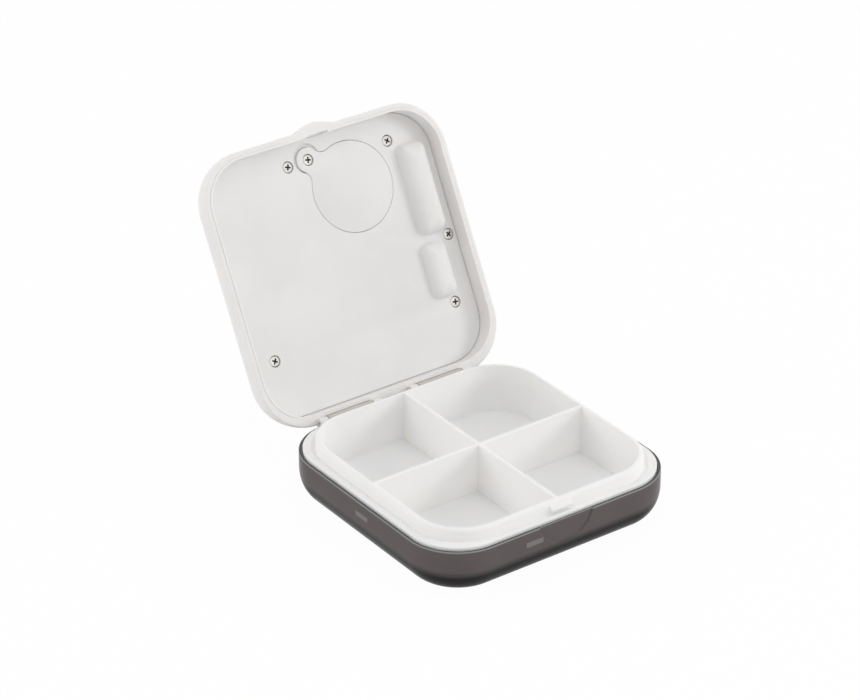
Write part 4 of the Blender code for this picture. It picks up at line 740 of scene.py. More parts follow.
def clip_block(name, place, facing, inward, outward, gap=0.0):
    """A block at a clip's pocket, smaller by a gap, reaching inward and outward from the shell's outside."""
    half = CLIP_POCKET_WIDTH / 2 - gap
    x_reach = sorted((place[0] - facing[0] * inward, place[0] + facing[0] * outward))
    y_reach = sorted((place[1] - facing[1] * inward, place[1] + facing[1] * outward))
    if facing[0] == 0:
        x_reach = (place[0] - half, place[0] + half)
    else:
        y_reach = (place[1] - half, place[1] + half)
    low_z = CLIP_POCKET_BOTTOM + gap
    high_z = CLIP_POCKET_BOTTOM + CLIP_POCKET_HEIGHT - gap
    return box(name, (x_reach[0], y_reach[0], low_z), (x_reach[1], y_reach[1], high_z))


def clip_blocks(name, inward, outward):
    return [
        clip_block(f"{name}_{number}", place, facing, inward, outward)
        for number, (place, facing) in enumerate(clip_places(), 1)
    ]


def in_clip_mark(point, place, facing):
    """True where a point of the shell lies on the floor or the edge of this clip's mark."""
    away = Vector(point[:2]) - Vector(place)
    inward = -away.dot(Vector(facing))
    sideways = abs(away.cross(Vector(facing)))
    above = point.z - CLIP_POCKET_BOTTOM
    in_height = -FLUSH_STEP < above < CLIP_POCKET_HEIGHT + FLUSH_STEP
    return in_height and inward < 2 * CLIP_MARK_DEPTH and sideways < CLIP_POCKET_WIDTH / 2 + FLUSH_STEP


def mark_clips(shell):
    """Give the second finish, painted see-through light, to the faint marks where the white hooks lie behind
    the skin.
    """
    corners = shell.data.vertices
    for face in shell.data.polygons:
        for place, facing in clip_places():
            if all(in_clip_mark(corners[corner].co, place, facing) for corner in face.vertices):
                face.material_index = 1


def thumb_scoop():
    """The shallow round recess in the front, with a sloping edge."""
    centre = (0.0, THUMB_SCOOP_BOTTOM + THUMB_SCOOP_RADIUS)
    front = -BASE_HALF_Y
    outer = circle(centre, THUMB_SCOOP_RADIUS, 2 * ROUND_STEPS)
    inner = circle(centre, THUMB_SCOOP_RADIUS - THUMB_SCOOP_FLARE, 2 * ROUND_STEPS)
    return along_y(
        "thumb_scoop_tool", [(outer, front - OVERRUN), (outer, front), (inner, front + THUMB_SCOOP_DEPTH)]
    )


def hinge_sides():
    return (("left", -HINGE_SLOT_OFFSET), ("right", HINGE_SLOT_OFFSET))


def lug_spans(slot_middle):
    left = slot_middle - HINGE_SLOT_LENGTH / 2
    right = slot_middle + HINGE_SLOT_LENGTH / 2
    return ((left - LUG_WIDTH, left), (right, right + LUG_WIDTH))


def hinge_notches():
    reach = HINGE_SLOT_LENGTH / 2 + LUG_WIDTH + HINGE_NOTCH_END_GAP
    front = BASE_HALF_Y - BASE_WALL - OVERRUN
    bottom = HINGE_Z - BARREL_RADIUS - TURNING_GAP
    return [
        box(
            f"hinge_notch_tool_{side}", (middle - reach, front, bottom),
            (middle + reach, BASE_HALF_Y + OVERRUN, BASE_HEIGHT + OVERRUN),
        )
        for side, middle in hinge_sides()
    ]


def stop_ledge():
    """The ledge at the back that the open lid's rear wall rests on."""
    gap_y = HINGE_Y + SEAT_GAP * math.cos(LID_OPEN)
    gap_z = HINGE_Z - SEAT_GAP * math.sin(LID_OPEN)
    fall = math.cos(LID_OPEN) / math.sin(LID_OPEN)
    tip_y = BASE_HALF_Y + STOP_LEDGE_REACH
    top_at_wall = gap_z + (BASE_HALF_Y - gap_y) * fall
    inside = BASE_HALF_Y - BASE_RIM_WIDTH / 2
    profile = [
        (inside, top_at_wall),
        (BASE_HALF_Y, top_at_wall),
        (tip_y, gap_z + (tip_y - gap_y) * fall),
        (BASE_HALF_Y, top_at_wall - STOP_LEDGE_DROP),
        (inside, top_at_wall - STOP_LEDGE_DROP),
    ]
    return bar("stop_ledge_tool", profile, -STOP_LEDGE_WIDTH / 2, STOP_LEDGE_WIDTH / 2)


def dress_base_shell():
    shell = loft("base_shell_skin", [(base_outline(inset), z) for inset, z in base_section()])
    join(shell, stop_ledge())
    pockets = clip_blocks("clip_pocket_tool", BASE_WALL + OVERRUN, -CLIP_SKIN)
    cut(shell, thumb_scoop(), *hinge_notches(), *pockets)
    cut(shell, *clip_blocks("clip_mark_tool", CLIP_MARK_DEPTH, OVERRUN))
    # The shell's finish carries painted see-through light, a painted rim highlight and painted shade on the
    # rim's top
    finish = smoked_plastic("smoked_plastic_look", SMOKE_LIGHT)
    dress(shell, finish, "base", "smoked_plastic", "base_shell")
    # The clip marks' finish: painted see-through light from the white hooks behind the skin
    shell.data.materials.append(smoked_plastic("smoked_clip_see_through_light_look", SMOKE_HOOK_SEE_THROUGH_LIGHT))
    mark_clips(shell)


# Pill tray

def well_outline(inset):
    return rounded_rectangle((0.0, 0.0), WELL_HALF_X, WELL_HALF_Y, WELL_CORNER_RADIUS, inset)


def tray_rings():
    """The tray's rings, from the underside up, over flange and wall, and down into the well."""
    flange_bottom = TRAY_SEAT_Z + SEAT_GAP
    under = rounded_foot(-TRAY_WALL, TRAY_BOTTOM, TRAY_BOTTOM_ROUNDING, TRAY_BOTTOM_ROUNDING)
    under.append((-TRAY_WALL, flange_bottom))
    flange = soften(
        [
            (FLANGE_INSET + TRAY_LIP_ROUNDING, flange_bottom),
            (FLANGE_INSET, flange_bottom),
            (FLANGE_INSET, TRAY_LIP_Z),
            (FLANGE_INSET + TRAY_LIP_ROUNDING, TRAY_LIP_Z),
        ],
        [0, TRAY_LIP_UNDER_ROUNDING, TRAY_LIP_ROUNDING, 0],
    )
    groove = TRAY_WALL + TRAY_GROOVE_WIDTH
    top = soften(
        [
            (-groove - TRAY_GROOVE_DEPTH - TRAY_GROOVE_LAND, TRAY_LIP_Z),
            (-groove - TRAY_GROOVE_DEPTH, TRAY_LIP_Z),
            (-groove, TRAY_LIP_Z - TRAY_GROOVE_DEPTH),
            (-TRAY_WALL, TRAY_LIP_Z - TRAY_GROOVE_DEPTH),
            (-TRAY_WALL, TRAY_TOP),
            (0.0, TRAY_TOP),
            (WELL_TAPER, TRAY_FLOOR_Z),
            (WELL_TAPER + 2 * WELL_FLOOR_ROUNDING, TRAY_FLOOR_Z),
        ],
        [
            0, TRAY_GROOVE_ROUNDING, TRAY_GROOVE_ROUNDING, TRAY_GROOVE_ROUNDING,
            TRAY_WALL_OUTER_ROUNDING, TRAY_WALL_INNER_ROUNDING, WELL_FLOOR_ROUNDING, 0,
        ],
    )
    rings = [(well_outline(inset), z) for inset, z in under]
    rings += [(base_outline(inset), z) for inset, z in flange]
    rings += [(well_outline(inset), z) for inset, z in top]
    return rings


def divider_section():
    """A divider's section: wider at its foot, with a rounded top."""
    half = DIVIDER_THICKNESS / 2
    foot = half + DIVIDER_DRAFT
    bottom = TRAY_FLOOR_Z - (TRAY_FLOOR_Z - TRAY_BOTTOM) / 2
    top = TRAY_TOP - DIVIDER_DROP
    return soften(
        [(-foot, bottom), (foot, bottom), (half, top), (-half, top), (-foot, bottom)],
        [0, 0, DIVIDER_ROUNDING, DIVIDER_ROUNDING, 0],
    )[:-1]


def dividers():
    section = divider_section()
    reach_x = WELL_HALF_X + TRAY_WALL / 2
    reach_y = WELL_HALF_Y + TRAY_WALL / 2
    return (
        bar("divider_across_tool", section, -reach_x, reach_x),
        along_y("divider_along_tool", [(section, -reach_y), (section, reach_y)]),
    )


def latch_nub():
    """The nub at the front that the lid's slot goes over, with bevelled ends."""
    wall_face = -WELL_HALF_Y - TRAY_WALL
    half = LATCH_NUB_WIDTH / 2
    bottom = TRAY_LIP_Z + LATCH_NUB_LIFT
    top = bottom + LATCH_NUB_HEIGHT
    tip = wall_face - LATCH_NUB_REACH
    root = wall_face + TRAY_WALL / 2

    def profile(drawn_in):
        return [
            (root, bottom + drawn_in),
            (tip + LATCH_NUB_BEVEL + drawn_in, bottom + drawn_in),
            (tip + drawn_in, bottom + LATCH_NUB_BEVEL + drawn_in),
            (tip + drawn_in, top - LATCH_NUB_REACH / 2 - drawn_in),
            (tip + LATCH_NUB_BEVEL + drawn_in, top - LATCH_NUB_BEVEL - drawn_in),
            (wall_face, top - drawn_in),
            (root, top - drawn_in),
        ]

    end = LATCH_NUB_BEVEL / 2
    return along_x("latch_nub_tool", [
        (profile(end), -half), (profile(0.0), end - half), (profile(0.0), half - end), (profile(end), half),
    ])


def tray_hooks():
    hooks = []
    for number, (place, facing) in enumerate(clip_places(), 1):
        wall_gap = BASE_HALF_X - WELL_HALF_X if facing[0] else BASE_HALF_Y - WELL_HALF_Y
        hooks.append(clip_block(
            f"tray_hook_tool_{number}", place, facing, wall_gap - TRAY_WALL / 2, -CLIP_SKIN - SEAT_GAP,
            SEAT_GAP,
        ))
    return hooks


def hinge_barrel(side, middle):
    left = middle - HINGE_SLOT_LENGTH / 2 + TURNING_GAP
    meets = math.pi - math.asin(BARREL_ARM_TOP / BARREL_RADIUS)
    profile = arc((HINGE_Y, HINGE_Z), BARREL_RADIUS, -math.pi / 2, meets, ROUND_STEPS)
    profile.append((HINGE_Y - BARREL_ARM_REACH, HINGE_Z + BARREL_ARM_TOP))
    profile.append((HINGE_Y - BARREL_ARM_REACH, HINGE_Z - BARREL_RADIUS))
    return bar(f"hinge_barrel_{side}_skin", profile, left, left + BARREL_LENGTH)


def pin_bore(name, middle):
    reach = HINGE_SLOT_LENGTH / 2 + LUG_WIDTH + OVERRUN
    return rod(name, PIN_RADIUS + PIN_GAP, middle - reach, middle + reach)


def lug_rooms(side, middle):
    radius = BARREL_RADIUS + TURNING_GAP
    return [
        rod(f"lug_room_tool_{side}_{number}", radius, low - TURNING_GAP, high + TURNING_GAP)
        for number, (low, high) in enumerate(lug_spans(middle), 1)
    ]


def dress_pill_tray():
    tray = loft("pill_tray_skin", tray_rings())
    join(tray, *dividers(), latch_nub(), *tray_hooks())
    for side, middle in hinge_sides():
        cut(tray, *lug_rooms(side, middle))
    dress(tray, white_plastic("tray_plastic_look", TRAY_GLOW_DEPTH), "base", "white_plastic", "pill_tray")
    # The white barrels' beige-grey finish is painted shade
    finish = moulded_plastic("barrel_painted_shade_look")
    for side, middle in hinge_sides():
        barrel = hinge_barrel(side, middle)
        cut(barrel, pin_bore(f"tray_bore_tool_{side}", middle))
        dress(barrel, finish, "base", "white_plastic", "pill_tray")


def dress_hinge_pins():
    finish = brushed_metal("pin_steel_look")
    end = hinge_circle(PIN_RADIUS - PIN_BEVEL)
    middle = hinge_circle(PIN_RADIUS)
    for node in ("hinge_pin_left", "hinge_pin_right"):
        low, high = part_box(node)
        pin = along_x(f"{node}_skin", [
            (end, low.x), (middle, low.x + PIN_BEVEL), (middle, high.x - PIN_BEVEL), (end, high.x),
        ])
        dress(pin, finish, "base", "nickel_steel", node)


# Lid cover

def lid_outline(inset, rear_thickening=0.0):
    """The lid's plan, shorter at the hinge by the thickening of its rear wall."""
    half_length = (LID_LENGTH - rear_thickening) / 2
    centre = (0.0, from_hinge(LID_LENGTH - half_length))
    return rounded_rectangle(centre, LID_HALF_X, half_length, LID_CORNER_RADIUS, inset)


def lid_inner_outline(inset):
    """The plan of what lies inside the lid's wall, which is thicker along the hinge."""
    return lid_outline(inset, LID_REAR_THICKENING)


def fillet_inset(depth):
    """How far the lid's round outside is drawn in at this depth."""
    rise = min(max(depth - LID_DEPTH + LID_FILLET, 0.0), LID_FILLET)
    return LID_FILLET - math.sqrt(LID_FILLET * LID_FILLET - rise * rise)


def lid_rings():
    """The lid's rings: inside from the ceiling down, over lip and rim, and up the outside."""
    inner_radius = LID_FILLET - LID_WALL
    seat_depth = PANEL_BACK + SEAT_GAP
    start_depth = LID_DEPTH - LID_FILLET
    centre = (LID_FILLET, at_depth(start_depth))
    seat_turn = math.asin((seat_depth - start_depth) / inner_radius)
    inside = arc(centre, inner_radius, math.pi / 2, math.pi - seat_turn, FILLET_STEPS)
    lip = LID_RIM_WIDTH - LID_LIP_WIDTH
    rim = soften(
        [
            inside[-1],
            (LID_RIM_WIDTH, at_depth(seat_depth)),
            (LID_RIM_WIDTH, at_depth(-LID_LIP_RISE)),
            (lip, at_depth(-LID_LIP_RISE)),
            (lip, at_depth(LID_LINE_DEPTH)),
            (lip - LID_LINE_WIDTH, at_depth(LID_LINE_DEPTH)),
            (lip - 2 * LID_LINE_WIDTH, LID_RIM_Z),
        ],
        [0, 0, LID_LIP_INNER_ROUNDING, LID_LIP_OUTER_ROUNDING, LID_LINE_ROUNDING, LID_LINE_ROUNDING, 0],
    )
    edge = soften(
        [(2 * LID_RIM_ROUNDING, LID_RIM_Z), (0.0, LID_RIM_Z), (0.0, at_depth(start_depth))],
        [0, LID_RIM_ROUNDING, 0],
    )
    outside = arc(centre, LID_FILLET, math.pi, math.pi / 2, 2 * FILLET_STEPS)
    rings = [(lid_inner_outline(inset), z) for inset, z in inside + rim[1:]]
    rings += [(lid_outline(inset), z) for inset, z in edge[:-1] + outside]
    return rings


def lip_end_tool():
    """What takes the lip off along the hinge."""
    return box(
        "lip_end_tool", (-LID_HALF_X, from_hinge(LID_LIP_REAR_END), at_depth(-LID_LIP_RISE - OVERRUN)),
        (LID_HALF_X, from_hinge(-OVERRUN), LID_RIM_Z),
    )


def thumb_tab():
    """The bell-shaped tab in the middle of the front edge, running out up the wall."""
    half = THUMB_TAB_WIDTH / 2
    front = from_hinge(LID_LENGTH)
    steps = 2 * CORNER_STEPS
    rings = []
    for level in range(-EDGE_STEPS, FILLET_STEPS + 1):
        rise_share = max(level, 0) / FILLET_STEPS
        edge_share = min(level, 0) / EDGE_STEPS
        edge = LID_RIM_ROUNDING * (1 - math.cos(math.pi / 2 * edge_share))
        reach = THUMB_TAB_REACH * math.cos(math.pi / 2 * rise_share) - edge
        depth = LID_RIM_ROUNDING * (1 + math.sin(math.pi / 2 * edge_share))
        depth += THUMB_TAB_DEPTH * rise_share
        sunk = fillet_inset(depth) + LID_RIM_WIDTH / 4
        outline = []
        for step in range(steps + 1):
            across_share = 2 * step / steps - 1
            bell_share = (1 + math.cos(math.pi * across_share)) / 2
            outline.append((half * across_share, front + sunk - (reach + sunk) * bell_share))
        outline.append((half, front + LID_RIM_WIDTH / 2 + sunk))
        outline.append((-half, front + LID_RIM_WIDTH / 2 + sunk))
        rings.append((outline, depth))
    return lid_loft("thumb_tab_tool", rings)


def latch_slot():
    nub_tip = -WELL_HALF_Y - TRAY_WALL - LATCH_NUB_REACH
    half = LATCH_NUB_WIDTH / 2 + LATCH_SLOT_GAP
    inside = from_hinge(LID_LENGTH) + LID_RIM_WIDTH + OVERRUN
    return box(
        "latch_slot_tool", (-half, nub_tip - LATCH_SLOT_GAP, at_depth(-LID_LIP_RISE - OVERRUN)),
        (half, inside, at_depth(LATCH_POCKET_DEPTH)),
    )


def hinge_slots():
    radius = BARREL_RADIUS + TURNING_GAP
    reach = HINGE_SLOT_LENGTH / 2
    return [
        rod(f"hinge_slot_tool_{side}", radius, middle - reach, middle + reach)
        for side, middle in hinge_sides()
    ]


def lid_lugs():
    lugs = []
    for side, middle in hinge_sides():
        for number, (low, high) in enumerate(lug_spans(middle), 1):
            profile = arc((HINGE_Y, HINGE_Z), BARREL_RADIUS, math.pi, 2.5 * math.pi, ROUND_STEPS)
            profile.append((HINGE_Y - BARREL_RADIUS, HINGE_Z + BARREL_RADIUS))
            lugs.append(bar(f"lid_lug_tool_{side}_{number}", profile, low, high))
    return lugs


def window_outline(outset):
    centre = lid_point((0.0, DISPLAY_FROM_HINGE))
    half_x = DISPLAY_HALF_X + WINDOW_MARGIN
    half_y = DISPLAY_HALF_Y + WINDOW_MARGIN
    return rounded_rectangle(centre, half_x, half_y, WINDOW_CORNER_RADIUS, -outset)


def display_tools():
    opening = window_outline(-WINDOW_RIM)
    recess = window_outline(WINDOW_SIDE_GAP)
    top = LID_DEPTH + OVERRUN
    return (
        lid_loft("display_opening_tool", [(opening, CEILING_DEPTH - OVERRUN), (opening, top)]),
        lid_loft("window_recess_tool", [(recess, LID_DEPTH - WINDOW_THICKNESS - SEAT_GAP), (recess, top)]),
    )


def button_places():
    sides = (("left", -BUTTON_SPACING), ("middle", 0.0), ("right", BUTTON_SPACING))
    return [(side, (x, BUTTON_FROM_HINGE)) for side, x in sides]


def button_holes():
    """The buttons' holes, each with a softened mouth."""
    radius = BUTTON_RADIUS + BUTTON_SIDE_GAP
    flare = BUTTON_ROUNDING / 2
    profile = [
        (radius, CEILING_DEPTH - OVERRUN),
        (radius, LID_DEPTH - flare),
        (radius + flare, LID_DEPTH),
        (radius + flare, LID_DEPTH + OVERRUN),
    ]
    return [lid_turned(f"button_hole_tool_{side}", place, profile) for side, place in button_places()]


def dress_lid_cover():
    cover = loft("lid_cover_skin", lid_rings())
    cut(cover, lip_end_tool())
    join(cover, thumb_tab())
    cut(cover, *hinge_slots(), latch_slot())
    join(cover, *lid_lugs())
    for side, middle in hinge_sides():
        cut(cover, pin_bore(f"lid_bore_tool_{side}", middle))
    cut(cover, *display_tools(), *button_holes())
    open_lid(cover)
    dress(cover, white_plastic("lid_plastic_look"), "lid", "white_plastic", "lid_cover")


# Lid inner panel and battery door

def dome_rings(dome, drawn_in, foot_flare, start_depth):
    """A bar with a half-elliptic section, crest first, with a small flare where it meets the panel."""
    centre = lid_point((dome["x"], dome["from_hinge"]))
    half_x = dome["width"] / 2 - drawn_in
    half_y = dome["length"] / 2 - drawn_in
    corner = DOME_CORNER_RADIUS - drawn_in
    height = dome["height"] - drawn_in
    first_turn = math.asin(foot_flare / height)
    last_turn = math.radians(DOME_CREST_DEGREES)

    def ring(inset, depth):
        return rounded_rectangle(centre, half_x, half_y, corner, inset, FILLET_STEPS), depth

    rings = [ring(-foot_flare, start_depth)]
    if foot_flare:
        out_share, up_share = DOME_FLARE_SHARES
        rings.append(ring(-foot_flare, PANEL_DEPTH))
        rings.append(ring(-foot_flare * out_share, PANEL_DEPTH - foot_flare * up_share))
    for step in range(FILLET_STEPS + 1):
        turn = first_turn + (last_turn - first_turn) * step / FILLET_STEPS
        rings.append(ring(half_x * (1 - math.cos(turn)), PANEL_DEPTH - height * math.sin(turn)))
    return rings[::-1]


def heading(start, end):
    """The way from one point to another, as an angle in radians."""
    way = end - start
    return math.atan2(way.y, way.x)


def door_outline(outset):
    """The battery door's plan: a disc and a screw ear, blended by two hollow fillets."""
    disc = Vector(BATTERY_PLACE)
    ear = Vector(DOOR_SCREW_PLACE)
    disc_side = DOOR_RADIUS + DOOR_EAR_FILLET
    ear_side = DOOR_EAR_RADIUS + DOOR_EAR_FILLET
    apart = (ear - disc).length
    opening = math.acos((disc_side ** 2 + apart ** 2 - ear_side ** 2) / (2 * disc_side * apart))
    first_turn = heading(disc, ear) + opening
    last_turn = heading(disc, ear) - opening
    fillets = [
        disc + disc_side * Vector((math.cos(turn), math.sin(turn))) for turn in (last_turn, first_turn)
    ]
    ear_ends = [heading(ear, fillet) for fillet in fillets]
    while ear_ends[1] < ear_ends[0]:
        ear_ends[1] += 2 * math.pi
    to_disc = [heading(fillet, disc) for fillet in fillets]
    to_ear = [heading(fillet, ear) for fillet in fillets]
    while to_ear[0] > to_disc[0]:
        to_ear[0] -= 2 * math.pi
    while to_ear[1] < to_disc[1]:
        to_ear[1] += 2 * math.pi
    fillet_radius = DOOR_EAR_FILLET - outset
    points = arc(disc, DOOR_RADIUS + outset, first_turn, last_turn + 2 * math.pi, 2 * ROUND_STEPS)
    points += arc(fillets[0], fillet_radius, to_disc[0], to_ear[0], CORNER_STEPS)[1:-1]
    points += arc(ear, DOOR_EAR_RADIUS + outset, ear_ends[0], ear_ends[1], ROUND_STEPS)
    points += arc(fillets[1], fillet_radius, to_ear[1], to_disc[1], CORNER_STEPS)[1:-1]
    return anticlockwise([lid_point(point) for point in points])


def door_opening():
    """The door's opening, with a softened edge at the panel's face."""
    flare = PANEL_EDGE_ROUNDING
    return lid_loft("door_opening_tool", [
        (door_outline(DOOR_GAP + flare), PANEL_DEPTH - OVERRUN),
        (door_outline(DOOR_GAP + flare), PANEL_DEPTH),
        (door_outline(DOOR_GAP), PANEL_DEPTH + flare),
        (door_outline(DOOR_GAP), PANEL_BACK + SEAT_GAP),
    ])


def battery_well():
    """The shallow well behind the panel, so that the gap round the door has a floor."""
    outline = door_outline(DOOR_GAP + DOOR_WELL_WALL)
    end = PANEL_BACK + SEAT_GAP + DOOR_LEDGE_THICKNESS
    return lid_loft("battery_well_tool", [(outline, PANEL_BACK - PANEL_THICKNESS / 2), (outline, end)])


def pry_notch():
    place = (DOOR_SCREW_PLACE[0] + PRY_NOTCH_SHIFT[0], DOOR_SCREW_PLACE[1] + PRY_NOTCH_SHIFT[1])
    flare = PANEL_EDGE_ROUNDING
    return lid_turned("pry_notch_tool", place, [
        (PRY_NOTCH_RADIUS + flare, PANEL_DEPTH - OVERRUN),
        (PRY_NOTCH_RADIUS + flare, PANEL_DEPTH),
        (PRY_NOTCH_RADIUS - flare, PANEL_DEPTH + 2 * flare),
        (PRY_NOTCH_RADIUS - flare, PANEL_DEPTH + PRY_NOTCH_DEPTH),
    ])


def screw_seat(name, place):
    """A sunk screw's seat with a softened mouth, and the hole for its shank."""
    radius = SCREW_HEAD_RADIUS + SCREW_HEAD_SIDE_GAP
    flare = PANEL_EDGE_ROUNDING
    seat = PANEL_DEPTH + SCREW_HEAD_SINK + SCREW_HEAD_HEIGHT + SCREW_HEAD_SEAT_GAP
    return lid_turned(name, place, [
        (radius + flare, PANEL_DEPTH - OVERRUN),
        (radius + flare, PANEL_DEPTH),
        (radius, PANEL_DEPTH + flare),
        (radius, seat),
        (SCREW_SHANK_RADIUS + SCREW_SHANK_GAP, seat),
        (SCREW_SHANK_RADIUS + SCREW_SHANK_GAP, PANEL_BACK + OVERRUN),
    ])


def dress_lid_inner_panel():
    edge = LID_RIM_WIDTH + PANEL_GAP
    panel = lid_loft("lid_inner_panel_skin", [
        (lid_inner_outline(edge + PANEL_EDGE_ROUNDING), PANEL_DEPTH),
        (lid_inner_outline(edge), PANEL_DEPTH + PANEL_EDGE_ROUNDING),
        (lid_inner_outline(edge), PANEL_BACK),
    ])
    foot = PANEL_BACK - PANEL_THICKNESS / 2
    domes = {"motor": MOTOR_DOME, "buzzer": BUZZER_DOME}
    join(panel, *[
        lid_loft(f"{name}_dome_tool", dome_rings(dome, 0.0, DOME_FOOT_FLARE, foot))
        for name, dome in domes.items()
    ])
    join(panel, battery_well())
    cut(panel, *[
        lid_loft(f"{name}_hollow_tool", dome_rings(dome, DOME_WALL, 0.0, PANEL_BACK + OVERRUN))
        for name, dome in domes.items()
    ])
    cell_hole = lid_turned("cell_hole_tool", BATTERY_PLACE, [
        (CELL_HOLE_RADIUS, PANEL_BACK), (CELL_HOLE_RADIUS, PANEL_BACK + 2 * PANEL_THICKNESS),
    ])
    cut(panel, door_opening(), cell_hole, pry_notch())
    cut(panel, *[
        screw_seat(f"screw_seat_tool_{number}", place) for number, place in enumerate(PANEL_SCREW_PLACES, 1)
    ])
    open_lid(panel)
    dress(panel, white_plastic("panel_plastic_look"), "lid", "white_plastic", "lid_inner_panel")


def dress_battery_door():
    rounding = PANEL_EDGE_ROUNDING
    edge = rounding * DOOR_EDGE_SHARE
    door = lid_loft("battery_door_skin", [
        (door_outline(-rounding), PANEL_DEPTH),
        (door_outline(-edge), PANEL_DEPTH + edge),
        (door_outline(0.0), PANEL_DEPTH + rounding),
        (door_outline(0.0), PANEL_BACK),
    ])
    cut(door, screw_seat("door_screw_seat_tool", DOOR_SCREW_PLACE))
    open_lid(door)
    dress(door, white_plastic("door_plastic_look"), "lid", "white_plastic", "battery_door")


# Screws

def cross_tool(name, centre, turn, top):
    """One arm of the cross recess, tapering as it goes in."""
    rings = []
    for depth, long_share, short_share in (
        (top - OVERRUN, 1, 1), (top, 1, 1), (top + SCREW_CROSS_DEPTH, *SCREW_CROSS_END_SHARES),
    ):
        long_half = long_share * SCREW_CROSS_LENGTH / 2
        short_half = short_share * SCREW_CROSS_WIDTH / 2
        outline = []
        for along, across in ((-1, -1), (1, -1), (1, 1), (-1, 1)):
            arm = Vector((along * long_half, across * short_half))
            arm.rotate(Matrix.Rotation(turn, 2))
            outline.append((centre[0] + arm.x, centre[1] + arm.y))
        rings.append((outline, depth))
    return lid_loft(name, rings)


def dress_screw(node, place, turn, finish, recess_shade_finish):
    """A cross-recessed screw with a slightly domed head, its cross recess painted dark as painted shade."""
    centre = lid_point(place)
    top = PANEL_DEPTH + SCREW_HEAD_SINK
    base = top + SCREW_HEAD_HEIGHT
    dome_height = SCREW_HEAD_HEIGHT * SCREW_DOME_SHARE
    profile = []
    for step in range(EDGE_STEPS + 1):
        sweep = math.pi / 2 * (step + 1) / (EDGE_STEPS + 1)
        radius = SCREW_HEAD_RADIUS * math.sin(sweep)
        profile.append((radius, top + dome_height * (1 - math.cos(sweep))))
    profile += [
        (SCREW_HEAD_RADIUS, base),
        (SCREW_SHANK_RADIUS, base),
        (SCREW_SHANK_RADIUS, base + SCREW_SHANK_LENGTH),
    ]
    screw = lid_turned(f"{node}_skin", place, profile)
    cut(screw, *[
        cross_tool(f"cross_tool_{number}", centre, turn + number * math.pi / 2, top) for number in (1, 2)
    ])
    dress(screw, finish, "lid", "nickel_steel", node)
    # The cross recess's walls and floor get the dark finish: painted shade
    screw.data.materials.append(recess_shade_finish)
    for face in screw.data.polygons:
        off_centre = (Vector(face.center[:2]) - Vector(centre)).length
        if off_centre < SCREW_CROSS_LENGTH / 2 and at_depth(top) < face.center.z < at_depth(base):
            deep = face.center.z > at_depth(top + SCREW_CROSS_DEPTH / 2)
            if deep or abs(face.normal.z) < SCREW_FLAT_NORMAL:
                face.material_index = 1
    open_lid(screw)


def dress_screws():
    """The screws, each turned as it was driven home: the door's first, then the panel's."""
    finish = brushed_metal("screw_nickel_look")
    recess_shade_finish = brushed_metal("screw_recess_painted_shade_look")
    places = (DOOR_SCREW_PLACE, *PANEL_SCREW_PLACES)
    nodes = ["battery_door_screw"] + [f"panel_screw_{number}" for number in range(1, len(places))]
    for node, place, degrees in zip(nodes, places, SCREW_TURN_DEGREES):
        dress_screw(node, place, math.radians(degrees), finish, recess_shade_finish)


# Display and buttons

def dress_display_window():
    window = lid_loft("display_window_skin", [
        (window_outline(0.0), LID_DEPTH - WINDOW_THICKNESS),
        (window_outline(0.0), LID_DEPTH - PANEL_EDGE_ROUNDING),
        (window_outline(-PANEL_EDGE_ROUNDING), LID_DEPTH),
    ])
    open_lid(window)
    dress(window, window_look(), "lid", "clear_plastic", "display_window")


def button_profile():
    """A button's radii and depths: straight sides, a rounded edge and a slightly dished top."""
    top = LID_DEPTH + BUTTON_RISE
    centre = (BUTTON_RADIUS - BUTTON_ROUNDING, top - BUTTON_ROUNDING)
    profile = [(BUTTON_RADIUS, CEILING_DEPTH - SEAT_GAP)]
    profile += arc(centre, BUTTON_ROUNDING, 0.0, math.pi / 2, EDGE_STEPS)
    dish = BUTTON_RADIUS - 2 * BUTTON_ROUNDING
    for step in range(1, FILLET_STEPS):
        share = 1 - step / FILLET_STEPS
        profile.append((dish * share, top - BUTTON_DISH_DEPTH * (1 - share * share)))
    return profile


def dress_buttons():
    finish = moulded_plastic("button_plastic_look")
    for side, place in button_places():
        cap = lid_turned(f"button_{side}_cap", place, button_profile())
        open_lid(cap)
        dress(cap, finish, f"button_{side}", "grey_plastic")


# Inner pieces keep their CAD shape

def paint_node(node, finish):
    target = frame["nodes"][node]
    target.data.materials.clear()
    target.data.materials.append(finish)


def dress_inner_pieces():
    steel = brushed_metal("contact_steel_look")
    black = moulded_plastic("black_plastic_look")
    for finish, nodes in (
        (steel, ("battery_contact_positive", "battery_contact_negative")),
        (steel, ("timing_crystal", "vibration_motor")),
        (black, ("button_switch_left", "button_switch_middle", "button_switch_right")),
        (black, ("controller_chip", "buzzer")),
        (moulded_plastic("rubber_look"), ("lcd_connector_strip", "buzzer_lead", "motor_lead")),
        (moulded_plastic("button_body_look"), ("button_left", "button_middle", "button_right")),
        (moulded_plastic("board_look"), ("circuit_board",)),
        (brushed_metal("cell_can_look"), ("coin_cell",)),
        (display_look(), ("lcd_module",)),
    ):
        for node in nodes:
            paint_node(node, finish)


# Stage, lights and camera

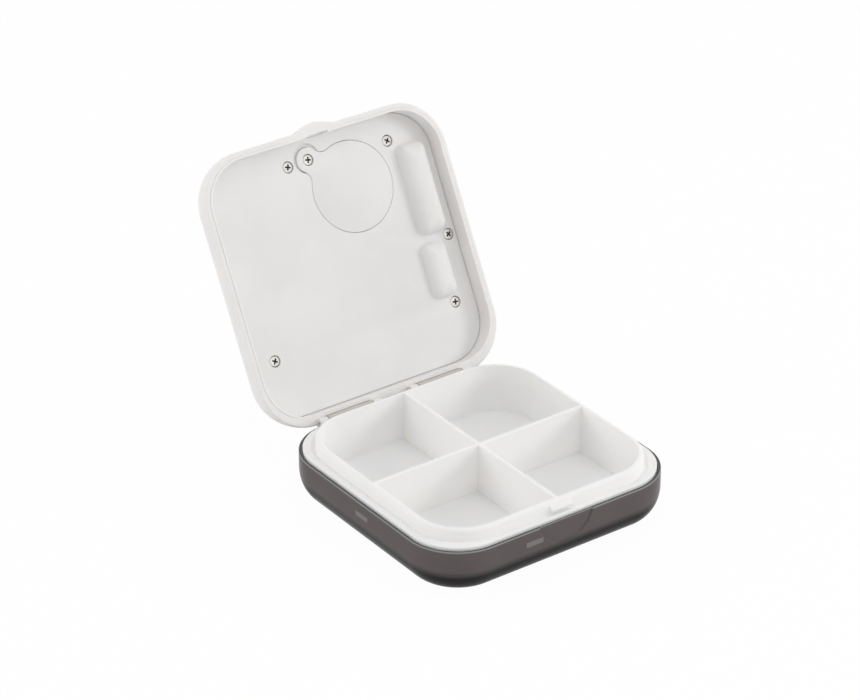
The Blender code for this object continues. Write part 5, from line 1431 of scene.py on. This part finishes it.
def make_stage():
    """A pale floor that goes white to the camera but keeps a soft shadow."""
    shape = bmesh.new()
    shape.faces.new([
        shape.verts.new((x * FLOOR_REACH, y * FLOOR_REACH, -FLUSH_STEP))
        for x, y in ((-1, -1), (1, -1), (1, 1), (-1, 1))
    ])
    floor = make_object("floor", shape)
    made = bpy.data.materials.new("floor_look")
    made.use_nodes = True
    tree = made.node_tree
    set_shader(made, {"Base Color": FLOOR_WHITE, "Roughness": FLOOR_ROUGHNESS})
    mixed = add_node(tree, "ShaderNodeMixShader", "Shader", {
        "Fac": add_math(tree, "MULTIPLY", ray_seen_as_backdrop(tree), FLOOR_GLOW_SHARE),
        1: tree.nodes["Principled BSDF"].outputs["BSDF"],
        2: add_node(tree, "ShaderNodeEmission", "Emission", {}),
    })
    feed(tree, tree.nodes["Material Output"], {"Surface": mixed})
    floor.data.materials.append(made)


def make_world():
    """A white studio: full white to the camera, softer as a light."""
    world = bpy.data.worlds.new("studio")
    world.use_nodes = True
    tree = world.node_tree
    level = map_value(tree, ray_seen_as_backdrop(tree), STUDIO_LIGHT, 1.0)
    feed(tree, tree.nodes["Background"], {"Color": STUDIO_WHITE, "Strength": level})
    bpy.context.scene.world = world


def ray_seen_as_backdrop(tree):
    """Whether a ray is the camera's, or shows the surroundings in gloss or through clear plastic."""
    path = tree.nodes.new("ShaderNodeLightPath")
    seen = path.outputs["Is Camera Ray"]
    for kind in ("Is Glossy Ray", "Is Transmission Ray"):
        seen = add_math(tree, "MAXIMUM", seen, path.outputs[kind])
    return seen


def make_lights():
    """A key light from the front right, a soft fill from the back left and a weak one from above."""
    for name, place, size, power in LAMPS:
        lamp = bpy.data.lights.new(name, "AREA")
        lamp.shape = "DISK"
        lamp.size = size
        lamp.energy = power
        holder = bpy.data.objects.new(name, lamp)
        holder.visible_glossy = False
        holder.location = place
        facing = Vector(LAMP_TARGET) - Vector(place)
        holder.rotation_euler = facing.to_track_quat("-Z", "Y").to_euler()
        bpy.context.scene.collection.objects.link(holder)


def make_camera():
    lens = bpy.data.cameras.new("camera")
    lens.lens = CAMERA_LENS_MM
    lens.sensor_width = CAMERA_SENSOR_MM
    camera = bpy.data.objects.new("camera", lens)
    right = Vector(CAMERA_RIGHT).normalized()
    up = Vector(CAMERA_UP).normalized()
    back = right.cross(up)
    turn = Matrix((right, up, back)).transposed()
    camera.matrix_world = Matrix.Translation(CAMERA_PLACE) @ turn.to_4x4()
    bpy.context.scene.collection.objects.link(camera)
    bpy.context.scene.camera = camera


def main():
    make_camera()
    make_world()
    make_lights()
    make_stage()
    dress_base_shell()
    dress_pill_tray()
    dress_hinge_pins()
    dress_lid_cover()
    dress_lid_inner_panel()
    dress_battery_door()
    dress_screws()
    dress_display_window()
    dress_buttons()
    dress_inner_pieces()
    bpy.context.scene.view_settings.view_transform = "Standard"


main()
